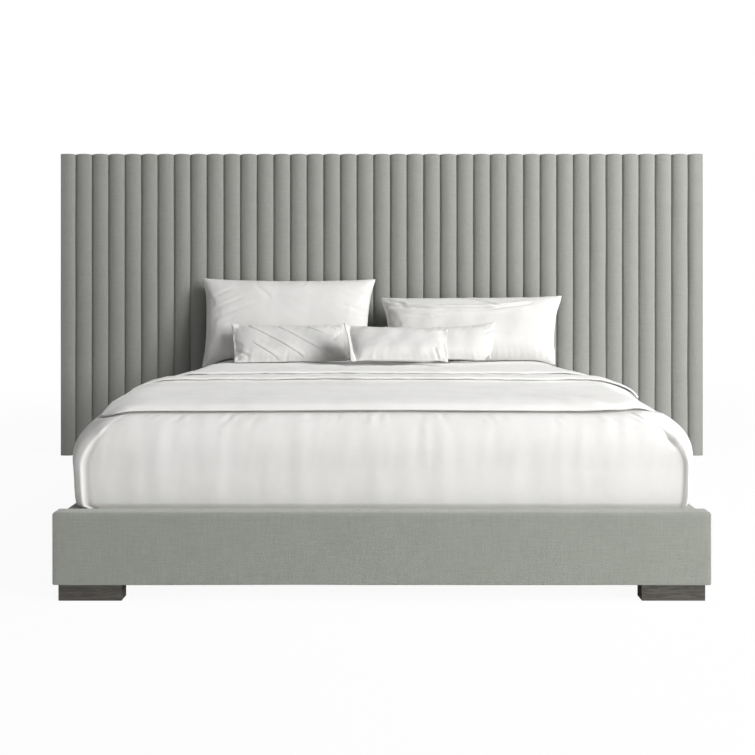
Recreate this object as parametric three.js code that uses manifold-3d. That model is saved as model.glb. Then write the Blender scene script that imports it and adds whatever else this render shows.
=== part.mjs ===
// Upholstered bed: a platform base with fabric-covered rails, a wide headboard of three
// channel-tufted panels that stand on the floor, slats, mattress, bedding and pillows.
// Millimetres, +Z up, +X to the right of someone at the foot end, foot end towards -Y.
// The origin is on the floor, below the middle of the bed.
import * as THREE from 'three';
import { mergeVertices } from 'three/addons/utils/BufferGeometryUtils.js';
import Module from 'manifold-3d';

const wasm = await Module();
wasm.setup();

// ---- driving dimensions ------------------------------------------------------------------

const GAP = 0.3; // left between two pieces that touch
const HOLE_SIDES = 8;
const BED_WIDTH = 2100; // over the side rails, and across the centre panel
const FOOT_Y = -1122.5; // front face of the footboard
const HEAD_Y = 1022.5; // crests of the headboard's channels
const RAIL_BOTTOM = 55; // underside of every rail, on top of the corner feet

// headboard panels
const PANEL_TOP = 1815;
const PANEL_BOTTOM = 5.3; // on the glides
const PANEL_DEPTH = 100; // crests to the back of the frame
const PANEL_JOINT = 1; // between two panels
const CHANNEL_PITCH = 100;
const CENTRE_CHANNELS = 21;
const SIDE_CHANNELS = 8; // full ones, besides a narrower one at the outer edge
const SIDE_PITCH = 98.5;
const EDGE_CHANNEL = 85;
const SEAM_DEPTH = 15; // how far a seam lies behind the crests
const OUTER_DEPTH = 4; // the same at the headboard's two outer edges
const TOP_DIP = 2.5; // how far a seam dips the straight top edge
const CROWN_POWER = 2.1; // a round crest; a higher power flattens it
const CROWN_STEPS = 4; // facets on each side of a crest
const TOP_ROUND = 9; // the foam rolled over the top edge
const PAD_DEPTH = 45; // foam in front of the face board
const SIDE_WALL = 8; // foam and fabric on a panel's edges
const TOP_WALL = 28;
const WRAP_STOP = 4; // the wrap ends this far short of the frame's back
const FACE_BOARD = 9;
const STILE = 60;
const STUD = 45;
const NOGGINGS = 2; // cross pieces between the top and bottom rails
const CENTRE_STUDS = 4;
const SIDE_STUDS = 1;

// join plates across the back of a panel joint
const PLATE = { length: 130, height: 40, thickness: 2.5, hole: 2.75, corner: 6 };
const PLATE_REBATE = 2.9;
const PLATE_HEIGHTS = [480, 1340];
const GLIDE = { radius: 15, height: 5 };
const GLIDE_INSET = 45;

// footboard and side rails
const RAIL_THICK = 57;
const RAIL_FOAM = 9.5;
const FOOTBOARD_TOP = 286;
const SIDE_RAIL_TOP = 269;
const TOP_EDGE_ROUND = 13;
const LOW_EDGE_ROUND = 5;
const END_ROUND = 9;
const INNER_LAP = 208; // the side rail's wrap ends here on the inside
const CORE_EASE = 3;
const LEDGER = { width: 28, bottom: 146, top: 185.7, length: 2003 };

// slats and centre support
const SLAT = { count: 12, width: 100, thickness: 19, halfLength: 998, firstY: -970, lastY: 927 };
const SLAT_EASE = 3;
const SLAT_SCREW = { fromEnd: 14, fromMiddle: 32, radius: 2.6 };
const SLAT_BOTTOM = LEDGER.top + GAP;
const HEAD_RAIL = { frontY: 984, backY: 1022, top: 204.7 };
const PANEL_BOLT = { radius: 6, spread: 620, z: 150 };
const BEAM = { width: 45, height: 70, ease: 3 };
const SADDLE = { sheet: 3, plateWidth: 110, plateHeight: 78, length: 48, hole: 3 };
const BRACKET = { leg: 60, sheet: 4, bottom: 74, top: 141, bend: 6, hole: 4.25 };

// feet, centre legs and levellers
const FOOT = { length: 203, thick: 42, inset: 15, ease: 1.5 };
const LEG_Y = 350;
const LEG = { side: 40, wall: 2, bottom: 24, plateX: 45, plateY: 100, plate: 4, insert: 16 };
const LEVELLER = { padRadius: 22.5, padHeight: 9, socket: 6.2, stemRadius: 5, stemTop: 62 };
const LEVELLER_NUT = { bottom: 10.5, height: 7, radius: 9.8 };

// mattress and bedding
const MATTRESS = { width: 1930, length: 2032, bottom: 205.3, top: 565, corner: 60, edge: 22, backY: 1005 };
const COVERLET = { hem: 216, top: 612, backY: 1000, clearance: 1.2 };
const TUCK = { x: 987, y: -1046, sideTop: 275, footTop: 292 }; // where the rails hold it in
const BULGE = { x: 1020, y: -1055, z: 430 }; // its widest, above the rails
const SHOULDER = { run: 190, power: 2.6, steps: 7 };
const PLAN_CORNER = 95;
const BLANKET = { thickness: 12, hemY: -950, sideHem: 528, backY: 985 };

// pillows, each with its size, the lean of its top from upright, and the place of its centre
const REST_Z = COVERLET.top + BLANKET.thickness + GAP + 1;
const PILLOW_CORNER = 5; // exponent of the outline
const PILLOWS = [
  { name: 'pillow_back_left', width: 962, height: 500, thick: 170, lean: 27, x: -521, y: 884 },
  { name: 'pillow_back_right', width: 975, height: 490, thick: 165, lean: 46, x: 484, y: 832 },
  { name: 'cushion_tucked', width: 590, height: 300, thick: 120, lean: 44, x: -488, y: 634 },
  { name: 'cushion_lumbar_rear', width: 580, height: 300, thick: 115, lean: 48, x: 305, y: 560 },
  { name: 'cushion_lumbar_front', width: 520, height: 285, thick: 110, lean: 46, x: 78, y: 392 },
];

// ---- materials ---------------------------------------------------------------------------

function surface(color, roughness, metalness = 0) {
  return new THREE.MeshStandardMaterial({ color, roughness, metalness, flatShading: true });
}

const linen = surface(0x9b9d96, 0.9);
const railLinen = surface(0x969a90, 0.9);
const pine = surface(0xd2b48a, 0.65);
const espresso = surface(0x3d3733, 0.45);
const steel = surface(0x3a3a3c, 0.45, 0.9);
const zinc = surface(0xb8babd, 0.35, 0.9);
const nylon = surface(0x222222, 0.6);
const ticking = surface(0xe9e6df, 0.9);
const cotton = surface(0xf2f1ee, 0.9);

// ---- geometry helpers --------------------------------------------------------------------

/** A closed geometry as a solid that can be joined and cut. */
function solid(geometry) {
  const bare = geometry.clone();
  bare.deleteAttribute('normal');
  bare.deleteAttribute('uv');
  const merged = mergeVertices(bare, 1e-4);
  const mesh = new wasm.Mesh({
    numProp: 3,
    vertProperties: Float32Array.from(merged.attributes.position.array),
    triVerts: Uint32Array.from(merged.index.array),
  });
  return new wasm.Manifold(mesh);
}

/** A solid back as a geometry. */
function geometryOf(body) {
  const { vertProperties, triVerts } = body.getMesh();
  const geometry = new THREE.BufferGeometry();
  geometry.setAttribute('position', new THREE.BufferAttribute(vertProperties, 3));
  geometry.setIndex(new THREE.BufferAttribute(triVerts, 1));
  geometry.computeVertexNormals();
  return geometry;
}

function box(low, high) {
  const size = high.map((value, axis) => value - low[axis]);
  const middle = high.map((value, axis) => (value + low[axis]) / 2);
  return new THREE.BoxGeometry(...size).translate(...middle);
}

/** A flat outline as a shape; the points are [u, v] pairs. */
function outline(points) {
  return new THREE.Shape(points.map(([u, v]) => new THREE.Vector2(u, v)));
}

/** Prisms of a shape: along Z from an XY shape, along Y from XZ, and along X from YZ. */
function prismZ(shape, low, high, curveSegments = 2) {
  const options = { depth: high - low, bevelEnabled: false, curveSegments };
  return new THREE.ExtrudeGeometry(shape, options).translate(0, 0, low);
}

function prismY(shape, low, high, curveSegments = 2) {
  return prismZ(shape, 0, high - low, curveSegments).rotateX(Math.PI / 2).translate(0, high, 0);
}

function prismX(shape, low, high, curveSegments = 2) {
  const turn = new THREE.Matrix4().makeBasis(
    new THREE.Vector3(0, 1, 0),
    new THREE.Vector3(0, 0, 1),
    new THREE.Vector3(1, 0, 0),
  );
  return prismZ(shape, 0, high - low, curveSegments).applyMatrix4(turn).translate(low, 0, 0);
}

/** A rectangle with its own radius at the two low corners and at the two high ones. */
function roundedRectangle(left, low, right, high, lowRadius, highRadius) {
  const shape = new THREE.Shape();
  const quarter = Math.PI / 2;
  shape.moveTo(left, low + lowRadius);
  shape.lineTo(left, high - highRadius);
  shape.absarc(left + highRadius, high - highRadius, highRadius, 2 * quarter, quarter, true);
  shape.lineTo(right - highRadius, high);
  shape.absarc(right - highRadius, high - highRadius, highRadius, quarter, 0, true);
  shape.lineTo(right, low + lowRadius);
  shape.absarc(right - lowRadius, low + lowRadius, lowRadius, 0, -quarter, true);
  shape.lineTo(left + lowRadius, low);
  shape.absarc(left + lowRadius, low + lowRadius, lowRadius, -quarter, -2 * quarter, true);
  return shape;
}

function addRoundHole(shape, u, v, radius) {
  const ring = new THREE.EllipseCurve(u, v, radius, radius).getPoints(HOLE_SIDES);
  shape.holes.push(new THREE.Path(ring));
}

/** A turned body from [radius, height] pairs that start and end on the axis. */
function turned(profile, segments) {
  const points = profile.map(([radius, height]) => new THREE.Vector2(radius, height));
  return new THREE.LatheGeometry(points, segments).rotateX(Math.PI / 2);
}

const bed = new THREE.Group();

function place(name, geometry, material, [x, y, z] = [0, 0, 0], turnZ = 0) {
  const mesh = new THREE.Mesh(geometry, material);
  mesh.name = name;
  mesh.position.set(x, y, z);
  mesh.rotation.z = turnZ;
  bed.add(mesh);
  return mesh;
}

// ---- headboard ---------------------------------------------------------------------------

/** The crests and seams across a panel, as [x, depth behind the crest] from left to right. */
function channelLine(pitches, leftDepth, rightDepth) {
  const total = pitches.reduce((sum, pitch) => sum + pitch, 0);
  const points = [[-total / 2, leftDepth]];
  let seam = -total / 2;
  pitches.forEach((pitch, index) => {
    const before = index === 0 ? leftDepth : SEAM_DEPTH;
    const after = index === pitches.length - 1 ? rightDepth : SEAM_DEPTH;
    for (let step = 1 - CROWN_STEPS; step <= CROWN_STEPS; step += 1) {
      const side = Math.sin((step / CROWN_STEPS) * (Math.PI / 2));
      const fall = side < 0 ? before : after;
      points.push([seam + (pitch / 2) * (1 + side), fall * Math.abs(side) ** CROWN_POWER]);
    }
    seam += pitch;
  });
  return points;
}

/** The foam-and-fabric shell: channels up the front to a straight top, plain wraps at the sides. */
function channelShell(line) {
  const half = -line[0][0];
  const height = PANEL_TOP - PANEL_BOTTOM;
  const depth = PANEL_DEPTH - WRAP_STOP;
  const front = outline([...line, [half, depth], [-half, depth]]);
  const crest = line.map(([x, sink]) => [x, height - (sink * TOP_DIP) / SEAM_DEPTH]);
  const top = outline([[-half, 0], ...crest, [half, 0]]);
  const roll = new THREE.Shape();
  roll.moveTo(0, 0);
  roll.lineTo(0, height - TOP_ROUND);
  roll.absarc(TOP_ROUND, height - TOP_ROUND, TOP_ROUND, Math.PI, Math.PI / 2, true);
  roll.lineTo(depth, height);
  roll.lineTo(depth, 0);
  const cavity = box(
    [SIDE_WALL - half, PAD_DEPTH, -1],
    [half - SIDE_WALL, depth + 1, height - TOP_WALL],
  );
  const shell = solid(prismZ(front, 0, height))
    .intersect(solid(prismY(top, 0, depth)))
    .intersect(solid(prismX(roll, -half, half)))
    .subtract(solid(cavity));
  return geometryOf(shell);
}

/** The timber ladder with its face board; rebates at the joined edges take the join plates. */
function panelFrame(width, studs, joinedEdges) {
  const half = width / 2 - SIDE_WALL - GAP;
  const height = PANEL_TOP - PANEL_BOTTOM - TOP_WALL - GAP;
  const boardFront = PAD_DEPTH + GAP;
  const timberFront = boardFront + FACE_BOARD;
  const bayWidth = (2 * half - 2 * STILE - studs * STUD) / (studs + 1);
  const bayHeight = (height - 2 * STILE - NOGGINGS * STUD) / (NOGGINGS + 1);
  let frame = solid(box([-half, boardFront, 0], [half, PANEL_DEPTH, height]));
  for (let column = 0; column <= studs; column += 1) {
    for (let row = 0; row <= NOGGINGS; row += 1) {
      const left = -half + STILE + column * (bayWidth + STUD);
      const low = STILE + row * (bayHeight + STUD);
      const bay = box([left, timberFront, low], [left + bayWidth, PANEL_DEPTH + 1, low + bayHeight]);
      frame = frame.subtract(solid(bay));
    }
  }
  for (const side of joinedEdges) {
    for (const z of PLATE_HEIGHTS) {
      const reach = (PLATE.length + PANEL_JOINT) / 2 + 1;
      const edge = side * (width / 2);
      const low = [edge - reach, PANEL_DEPTH - PLATE_REBATE, z - PANEL_BOTTOM - PLATE.height / 2 - 1];
      const high = [edge + reach, PANEL_DEPTH + 1, z - PANEL_BOTTOM + PLATE.height / 2 + 1];
      frame = frame.subtract(solid(box(low, high)));
    }
  }
  return geometryOf(frame);
}

function joinPlate() {
  const half = PLATE.length / 2;
  const rise = PLATE.height / 2;
  const shape = roundedRectangle(-half, -rise, half, rise, PLATE.corner, PLATE.corner);
  for (const x of [-half + 16, -half + 42, half - 42, half - 16]) {
    addRoundHole(shape, x, 0, PLATE.hole);
  }
  return prismY(shape, 0, PLATE.thickness, 1);
}

function glide() {
  const { radius, height } = GLIDE;
  return turned([[0, 0], [radius - 1.5, 0], [radius, 1.5], [radius, height], [0, height]], 16);
}

function buildHeadboard() {
  const centre = Array(CENTRE_CHANNELS).fill(CHANNEL_PITCH);
  const side = Array(SIDE_CHANNELS).fill(SIDE_PITCH);
  const sideWidth = SIDE_CHANNELS * SIDE_PITCH + EDGE_CHANNEL;
  const sideX = BED_WIDTH / 2 + PANEL_JOINT + sideWidth / 2;
  const panels = [
    {
      key: 'left',
      x: -sideX,
      width: sideWidth,
      joined: [1],
      line: channelLine([EDGE_CHANNEL, ...side], OUTER_DEPTH, SEAM_DEPTH),
    },
    {
      key: 'centre',
      x: 0,
      width: BED_WIDTH,
      joined: [-1, 1],
      line: channelLine(centre, SEAM_DEPTH, SEAM_DEPTH),
    },
    {
      key: 'right',
      x: sideX,
      width: sideWidth,
      joined: [-1],
      line: channelLine([...side, EDGE_CHANNEL], SEAM_DEPTH, OUTER_DEPTH),
    },
  ];
  for (const { key, x, width, joined, line } of panels) {
    const studs = key === 'centre' ? CENTRE_STUDS : SIDE_STUDS;
    place(`headboard_${key}_frame`, panelFrame(width, studs, joined), pine, [x, HEAD_Y, PANEL_BOTTOM]);
    place(`headboard_${key}_channels`, channelShell(line), linen, [x, HEAD_Y, PANEL_BOTTOM]);
    const glideX = width / 2 - GLIDE_INSET;
    const glideY = HEAD_Y + PAD_DEPTH + FACE_BOARD + GLIDE.radius + 8;
    place(`glide_${key}_outer`, glide(), nylon, [x + Math.sign(x || 1) * glideX, glideY, 0]);
    place(`glide_${key}_inner`, glide(), nylon, [x - Math.sign(x || 1) * glideX, glideY, 0]);
  }
  const plateY = HEAD_Y + PANEL_DEPTH - PLATE_REBATE + GAP / 2;
  for (const [key, sign] of [['left', -1], ['right', 1]]) {
    for (const [level, z] of [['lower', PLATE_HEIGHTS[0]], ['upper', PLATE_HEIGHTS[1]]]) {
      const plateX = sign * (BED_WIDTH + PANEL_JOINT) / 2;
      place(`join_plate_${key}_${level}`, joinPlate(), zinc, [plateX, plateY, z]);
    }
  }
}

// ---- footboard and side rails ------------------------------------------------------------

/** Foam and fabric over the footboard's plank, open underneath. */
function footboardCover() {
  const half = BED_WIDTH / 2;
  const height = FOOTBOARD_TOP - RAIL_BOTTOM;
  const section = roundedRectangle(0, 0, RAIL_THICK, height, LOW_EDGE_ROUND, TOP_EDGE_ROUND);
  const plan = roundedRectangle(-half, 0, half, RAIL_THICK, END_ROUND, END_ROUND);
  const face = roundedRectangle(-half, 0, half, height, LOW_EDGE_ROUND, END_ROUND);
  const core = box(
    [RAIL_FOAM - half, RAIL_FOAM, -1],
    [half - RAIL_FOAM, RAIL_THICK - RAIL_FOAM, height - RAIL_FOAM],
  );
  const cover = solid(prismX(section, -half, half))
    .intersect(solid(prismZ(plan, 0, height)))
    .intersect(solid(prismY(face, 0, RAIL_THICK)))
    .subtract(solid(core));
  return geometryOf(cover);
}

function footboardCore() {
  const half = BED_WIDTH / 2 - RAIL_FOAM - GAP;
  const low = RAIL_FOAM + GAP;
  const high = FOOTBOARD_TOP - RAIL_BOTTOM - RAIL_FOAM - GAP;
  const section = roundedRectangle(low, 0, RAIL_THICK - low, high, CORE_EASE, CORE_EASE);
  return prismX(section, -half, half, 1);
}

/** The right-hand rail's wrap, with X measured outwards from the bed's middle line. */
function sideRailCover(length) {
  const outer = BED_WIDTH / 2;
  const inner = outer - RAIL_THICK;
  const height = SIDE_RAIL_TOP - RAIL_BOTTOM;
  const section = roundedRectangle(inner, 0, outer, height, LOW_EDGE_ROUND, TOP_EDGE_ROUND);
  const core = box(
    [inner + RAIL_FOAM, -length, -1],
    [outer - RAIL_FOAM, length, height - RAIL_FOAM],
  );
  const bareInside = box(
    [inner - 1, -length, -1],
    [inner + RAIL_FOAM + 1, length, INNER_LAP - RAIL_BOTTOM],
  );
  const cover = solid(prismY(section, -length / 2, length / 2))
    .subtract(solid(core))
    .subtract(solid(bareInside));
  return geometryOf(cover);
}

/** The right-hand plank with the ledger that carries the slats. */
function sideRailCore(length) {
  const outer = BED_WIDTH / 2 - RAIL_FOAM - GAP;
  const inner = BED_WIDTH / 2 - RAIL_THICK + RAIL_FOAM + GAP;
  const high = SIDE_RAIL_TOP - RAIL_BOTTOM - RAIL_FOAM - GAP;
  const plank = roundedRectangle(inner, 0, outer, high, CORE_EASE, CORE_EASE);
  const low = LEDGER.bottom - RAIL_BOTTOM;
  const top = LEDGER.top - RAIL_BOTTOM;
  const strip = roundedRectangle(inner - LEDGER.width, low, inner + 6, top, CORE_EASE, CORE_EASE);
  const core = solid(prismY(plank, -length / 2, length / 2, 1))
    .add(solid(prismY(strip, -LEDGER.length / 2, LEDGER.length / 2, 1)));
  return geometryOf(core);
}

/** A steel angle from XY, one leg along +X and one along +Y, with two screw holes in each leg. */
function cornerBracket() {
  const { leg, sheet, bend } = BRACKET;
  const height = BRACKET.top - BRACKET.bottom;
  const angle = new THREE.Shape();
  angle.moveTo(bend, 0);
  angle.lineTo(leg, 0);
  angle.lineTo(leg, sheet);
  angle.lineTo(bend, sheet);
  angle.absarc(bend, bend, bend - sheet, -Math.PI / 2, Math.PI, true);
  angle.lineTo(sheet, leg);
  angle.lineTo(0, leg);
  angle.lineTo(0, bend);
  angle.absarc(bend, bend, bend, Math.PI, 1.5 * Math.PI, false);
  let bracket = solid(prismZ(angle, 0, height, 2));
  for (const z of [height * 0.25, height * 0.75]) {
    const drill = new THREE.CylinderGeometry(BRACKET.hole, BRACKET.hole, 3 * sheet, 8);
    bracket = bracket.subtract(solid(drill.clone().translate(leg * 0.65, 0, z)));
    bracket = bracket.subtract(solid(drill.clone().rotateZ(Math.PI / 2).translate(0, leg * 0.65, z)));
  }
  return geometryOf(bracket);
}

function headRail() {
  const half = BED_WIDTH / 2 - RAIL_THICK + RAIL_FOAM;
  const height = HEAD_RAIL.top - RAIL_BOTTOM;
  const thick = HEAD_RAIL.backY - HEAD_RAIL.frontY;
  const face = outline([[-half, 0], [half, 0], [half, height], [-half, height]]);
  for (const x of [-PANEL_BOLT.spread, PANEL_BOLT.spread]) {
    addRoundHole(face, x, PANEL_BOLT.z - RAIL_BOTTOM, PANEL_BOLT.radius);
  }
  return prismY(face, 0, thick);
}

/** A mitred corner foot: two arms of espresso-stained timber with eased edges. */
function cornerFoot() {
  const { length, thick, ease } = FOOT;
  const high = RAIL_BOTTOM - GAP;
  const corner = outline([
    [ease, ease],
    [length - ease, ease],
    [length - ease, thick - ease],
    [thick - ease, thick - ease],
    [thick - ease, length - ease],
    [ease, length - ease],
  ]);
  const bevel = { bevelThickness: ease, bevelSize: ease, bevelSegments: 1, bevelEnabled: true };
  return new THREE.ExtrudeGeometry(corner, { depth: high - 2 * ease, ...bevel }).translate(0, 0, ease);
}

function buildRails() {
  const railFront = FOOT_Y + RAIL_THICK + GAP;
  const railBack = HEAD_Y - GAP;
  const length = railBack - railFront;
  const middleY = (railFront + railBack) / 2;
  place('footboard_core', footboardCore(), pine, [0, FOOT_Y, RAIL_BOTTOM]);
  place('footboard_cover', footboardCover(), railLinen, [0, FOOT_Y, RAIL_BOTTOM]);
  const at = [0, middleY, RAIL_BOTTOM];
  place('side_rail_right_core', sideRailCore(length), pine, at);
  place('side_rail_left_core', sideRailCore(length), pine, at, Math.PI);
  place('side_rail_right_cover', sideRailCover(length), railLinen, at);
  place('side_rail_left_cover', sideRailCover(length), railLinen, at, Math.PI);
  place('head_rail', headRail(), pine, [0, HEAD_RAIL.frontY, RAIL_BOTTOM]);

  const bareFace = BED_WIDTH / 2 - RAIL_THICK + RAIL_FOAM;
  const footY = railFront;
  const headY = HEAD_RAIL.frontY - GAP;
  const quarter = Math.PI / 2;
  const z = BRACKET.bottom;
  place('bracket_foot_left', cornerBracket(), steel, [-bareFace, footY, z], 0);
  place('bracket_foot_right', cornerBracket(), steel, [bareFace, footY, z], quarter);
  place('bracket_head_right', cornerBracket(), steel, [bareFace, headY, z], 2 * quarter);
  place('bracket_head_left', cornerBracket(), steel, [-bareFace, headY, z], 3 * quarter);

  const footX = BED_WIDTH / 2 - FOOT.inset;
  const frontY = FOOT_Y + FOOT.inset;
  const backY = HEAD_Y - FOOT.inset;
  place('foot_front_left', cornerFoot(), espresso, [-footX, frontY, 0], 0);
  place('foot_front_right', cornerFoot(), espresso, [footX, frontY, 0], quarter);
  place('foot_back_right', cornerFoot(), espresso, [footX, backY, 0], 2 * quarter);
  place('foot_back_left', cornerFoot(), espresso, [-footX, backY, 0], 3 * quarter);
}

// ---- slats, beam and centre legs ---------------------------------------------------------

/** A planed board with two screw holes over the ledger at each end. */
function slat() {
  const { width, thickness, halfLength } = SLAT;
  const { fromEnd, fromMiddle, radius } = SLAT_SCREW;
  const section = roundedRectangle(-width / 2, 0, width / 2, thickness, SLAT_EASE, SLAT_EASE);
  let board = solid(prismX(section, -halfLength, halfLength, 1));
  for (const x of [fromEnd - halfLength, halfLength - fromEnd]) {
    for (const y of [-fromMiddle, fromMiddle]) {
      const hole = new THREE.CylinderGeometry(radius, radius, thickness * 2, HOLE_SIDES);
      hole.rotateX(Math.PI / 2).translate(x, y, thickness / 2);
      board = board.subtract(solid(hole));
    }
  }
  return geometryOf(board);
}

function centreBeam(length) {
  const { width, height, ease } = BEAM;
  const section = roundedRectangle(-width / 2, 0, width / 2, height, ease, ease);
  return prismY(section, 0, length, 1);
}

/** A beam hanger: a folded U that cups the beam's end, on a flanged plate with four holes. */
function beamSaddle() {
  const { sheet, plateWidth, plateHeight, length, hole } = SADDLE;
  const inside = BEAM.width / 2 + GAP;
  const wing = plateWidth / 2;
  const face = roundedRectangle(-wing, 0, wing, plateHeight, 4, 4);
  for (const x of [-wing + 13, wing - 13]) {
    for (const z of [plateHeight * 0.25, plateHeight * 0.75]) {
      addRoundHole(face, x, z, hole);
    }
  }
  const cup = outline([
    [-inside - sheet, 0],
    [inside + sheet, 0],
    [inside + sheet, BEAM.height * 0.8],
    [inside, BEAM.height * 0.8],
    [inside, sheet],
    [-inside, sheet],
    [-inside, BEAM.height * 0.8],
    [-inside - sheet, BEAM.height * 0.8],
  ]);
  const saddle = solid(prismY(face, 0, sheet, 1)).add(solid(prismY(cup, sheet / 2, length)));
  return geometryOf(saddle);
}

/** A square steel tube with a screw plate on top and a threaded insert below. */
function centreLeg(top) {
  const { side, wall, bottom, plateX, plateY, plate, insert } = LEG;
  const half = side / 2;
  const hollow = half - wall;
  const tube = roundedRectangle(-half, -half, half, half, 3, 3);
  const flange = roundedRectangle(-plateX / 2, -plateY / 2, plateX / 2, plateY / 2, 4, 4);
  for (const y of [-plateY / 2 + 13, plateY / 2 - 13]) {
    addRoundHole(flange, 0, y, 3);
  }
  const bore = new THREE.CylinderGeometry(1, 1, top - bottom, 16).rotateX(Math.PI / 2);
  bore.scale(LEVELLER.stemRadius + GAP, LEVELLER.stemRadius + GAP, 1);
  bore.translate(0, 0, (top - bottom) / 2 - plate - 2);
  const inside = box([-hollow, -hollow, insert], [hollow, hollow, top - bottom - plate]);
  const leg = solid(prismZ(tube, 0, top - bottom - plate / 2, 1))
    .subtract(solid(inside))
    .add(solid(prismZ(flange, top - bottom - plate, top - bottom, 1)))
    .subtract(solid(bore));
  return geometryOf(leg);
}

function levellerPad() {
  const { padRadius, padHeight, socket } = LEVELLER;
  const rim = 3;
  return turned([
    [0, 0],
    [padRadius - 1, 0],
    [padRadius, 1],
    [padRadius, rim],
    [socket + 5, padHeight - 2],
    [socket + 4, padHeight],
    [0, padHeight],
  ], 16);
}

/** The levelling screw: a threaded stem standing on the pad, with a hexagon to turn it by. */
function levellerStem() {
  const { stemRadius, stemTop, padHeight } = LEVELLER;
  const foot = padHeight + GAP;
  const stem = turned([
    [0, foot],
    [stemRadius, foot],
    [stemRadius, stemTop - 1],
    [stemRadius - 1, stemTop],
    [0, stemTop],
  ], 12);
  const { radius, height, bottom } = LEVELLER_NUT;
  const nut = new THREE.CylinderGeometry(radius, radius, height, 6).rotateX(Math.PI / 2);
  nut.translate(0, 0, bottom + height / 2);
  return geometryOf(solid(stem).add(solid(nut)));
}

function buildSlatsAndSupport() {
  for (let index = 0; index < SLAT.count; index += 1) {
    const y = THREE.MathUtils.lerp(SLAT.firstY, SLAT.lastY, index / (SLAT.count - 1));
    place(`slat_${String(index + 1).padStart(2, '0')}`, slat(), pine, [0, y, SLAT_BOTTOM]);
  }
  const beamFront = FOOT_Y + RAIL_THICK + SADDLE.sheet + 2 * GAP;
  const beamBack = HEAD_RAIL.frontY - SADDLE.sheet - 2 * GAP;
  const beamBottom = LEDGER.top - BEAM.height;
  place('centre_beam', centreBeam(beamBack - beamFront), pine, [0, beamFront, beamBottom]);
  const saddleZ = beamBottom - GAP - SADDLE.sheet;
  place('beam_saddle_foot', beamSaddle(), zinc, [0, beamFront - SADDLE.sheet - GAP, saddleZ]);
  place('beam_saddle_head', beamSaddle(), zinc, [0, beamBack + SADDLE.sheet + GAP, saddleZ], Math.PI);
  for (const [key, y] of [['foot', -LEG_Y], ['head', LEG_Y]]) {
    place(`centre_leg_${key}`, centreLeg(beamBottom - GAP), steel, [0, y, LEG.bottom]);
    place(`leveller_pad_${key}`, levellerPad(), nylon, [0, y, 0]);
    place(`leveller_stem_${key}`, levellerStem(), zinc, [0, y, 0]);
  }
}

// ---- mattress and bedding ----------------------------------------------------------------

function mattress() {
  const { width, length, bottom, top, corner, edge } = MATTRESS;
  const half = width / 2 - edge;
  const reach = length / 2 - edge;
  const round = corner - edge;
  const plan = roundedRectangle(-half, -reach, half, reach, round, round);
  const bevel = { bevelEnabled: true, bevelThickness: edge, bevelSize: edge, bevelSegments: 2 };
  const options = { depth: top - bottom - 2 * edge, curveSegments: 2, ...bevel };
  return new THREE.ExtrudeGeometry(plan, options).translate(0, 0, edge);
}

/** Points from the bulge up and over to the flat top, outwards distance first. */
function shoulder(bulge, top, grow) {
  const points = [];
  for (let step = 0; step <= SHOULDER.steps; step += 1) {
    const angle = (step / SHOULDER.steps) * (Math.PI / 2);
    const out = Math.cos(angle) ** (2 / SHOULDER.power);
    const up = Math.sin(angle) ** (2 / SHOULDER.power);
    const start = bulge - SHOULDER.run;
    points.push([start + (SHOULDER.run + grow) * out, BULGE.z + (top + grow - BULGE.z) * up]);
  }
  return points;
}

/** The outer form of the bedding, grown outwards by a layer's thickness. */
function beddingForm(grow) {
  const { hem, top, backY } = COVERLET;
  const wide = BULGE.x + grow;
  const frontY = BULGE.y - grow;
  const side = [[TUCK.x, hem], [TUCK.x, TUCK.sideTop], ...shoulder(BULGE.x, top, grow)];
  const otherSide = side.map(([x, z]) => [-x, z]).reverse();
  const across = prismY(outline([...side, ...otherSide]), frontY, backY);
  const foot = shoulder(-BULGE.y, top, grow).map(([y, z]) => [-y, z]);
  const front = [[TUCK.y, hem], [TUCK.y, TUCK.footTop], ...foot];
  const along = prismX(outline([...front, [backY, top + grow], [backY, hem]]), -wide, wide);
  const plan = new THREE.Shape();
  const cornerY = frontY + PLAN_CORNER;
  plan.moveTo(-wide, backY);
  plan.lineTo(-wide, cornerY);
  plan.absarc(PLAN_CORNER - wide, cornerY, PLAN_CORNER, Math.PI, 1.5 * Math.PI, false);
  plan.lineTo(wide - PLAN_CORNER, frontY);
  plan.absarc(wide - PLAN_CORNER, cornerY, PLAN_CORNER, 1.5 * Math.PI, 2 * Math.PI, false);
  plan.lineTo(wide, backY);
  return solid(across)
    .intersect(solid(along))
    .intersect(solid(prismZ(plan, hem, top + grow, 5)));
}

/** The coverlet: the bedding form hollowed out where the mattress lies, open below and behind. */
function coverlet() {
  const { width, length, top, corner, backY } = MATTRESS;
  const half = width / 2 + COVERLET.clearance;
  const frontY = backY - length - COVERLET.clearance;
  const plan = new THREE.Shape();
  plan.moveTo(-half, backY + 1);
  plan.lineTo(-half, frontY + corner);
  plan.absarc(corner - half, frontY + corner, corner, Math.PI, 1.5 * Math.PI, false);
  plan.lineTo(half - corner, frontY);
  plan.absarc(half - corner, frontY + corner, corner, 1.5 * Math.PI, 2 * Math.PI, false);
  plan.lineTo(half, backY + 1);
  const inside = solid(prismZ(plan, 0, top + COVERLET.clearance));
  return geometryOf(beddingForm(0).subtract(inside));
}

/** The blanket: one layer over the bedding form, hemmed short of the foot and at the sides. */
function blanket() {
  const { thickness, hemY, sideHem, backY } = BLANKET;
  const wide = BULGE.x + 2 * thickness;
  const reach = box([-wide, hemY, sideHem], [wide, backY, COVERLET.top + 2 * thickness]);
  const layer = beddingForm(thickness)
    .subtract(beddingForm(GAP))
    .intersect(solid(reach));
  return geometryOf(layer);
}

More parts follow.
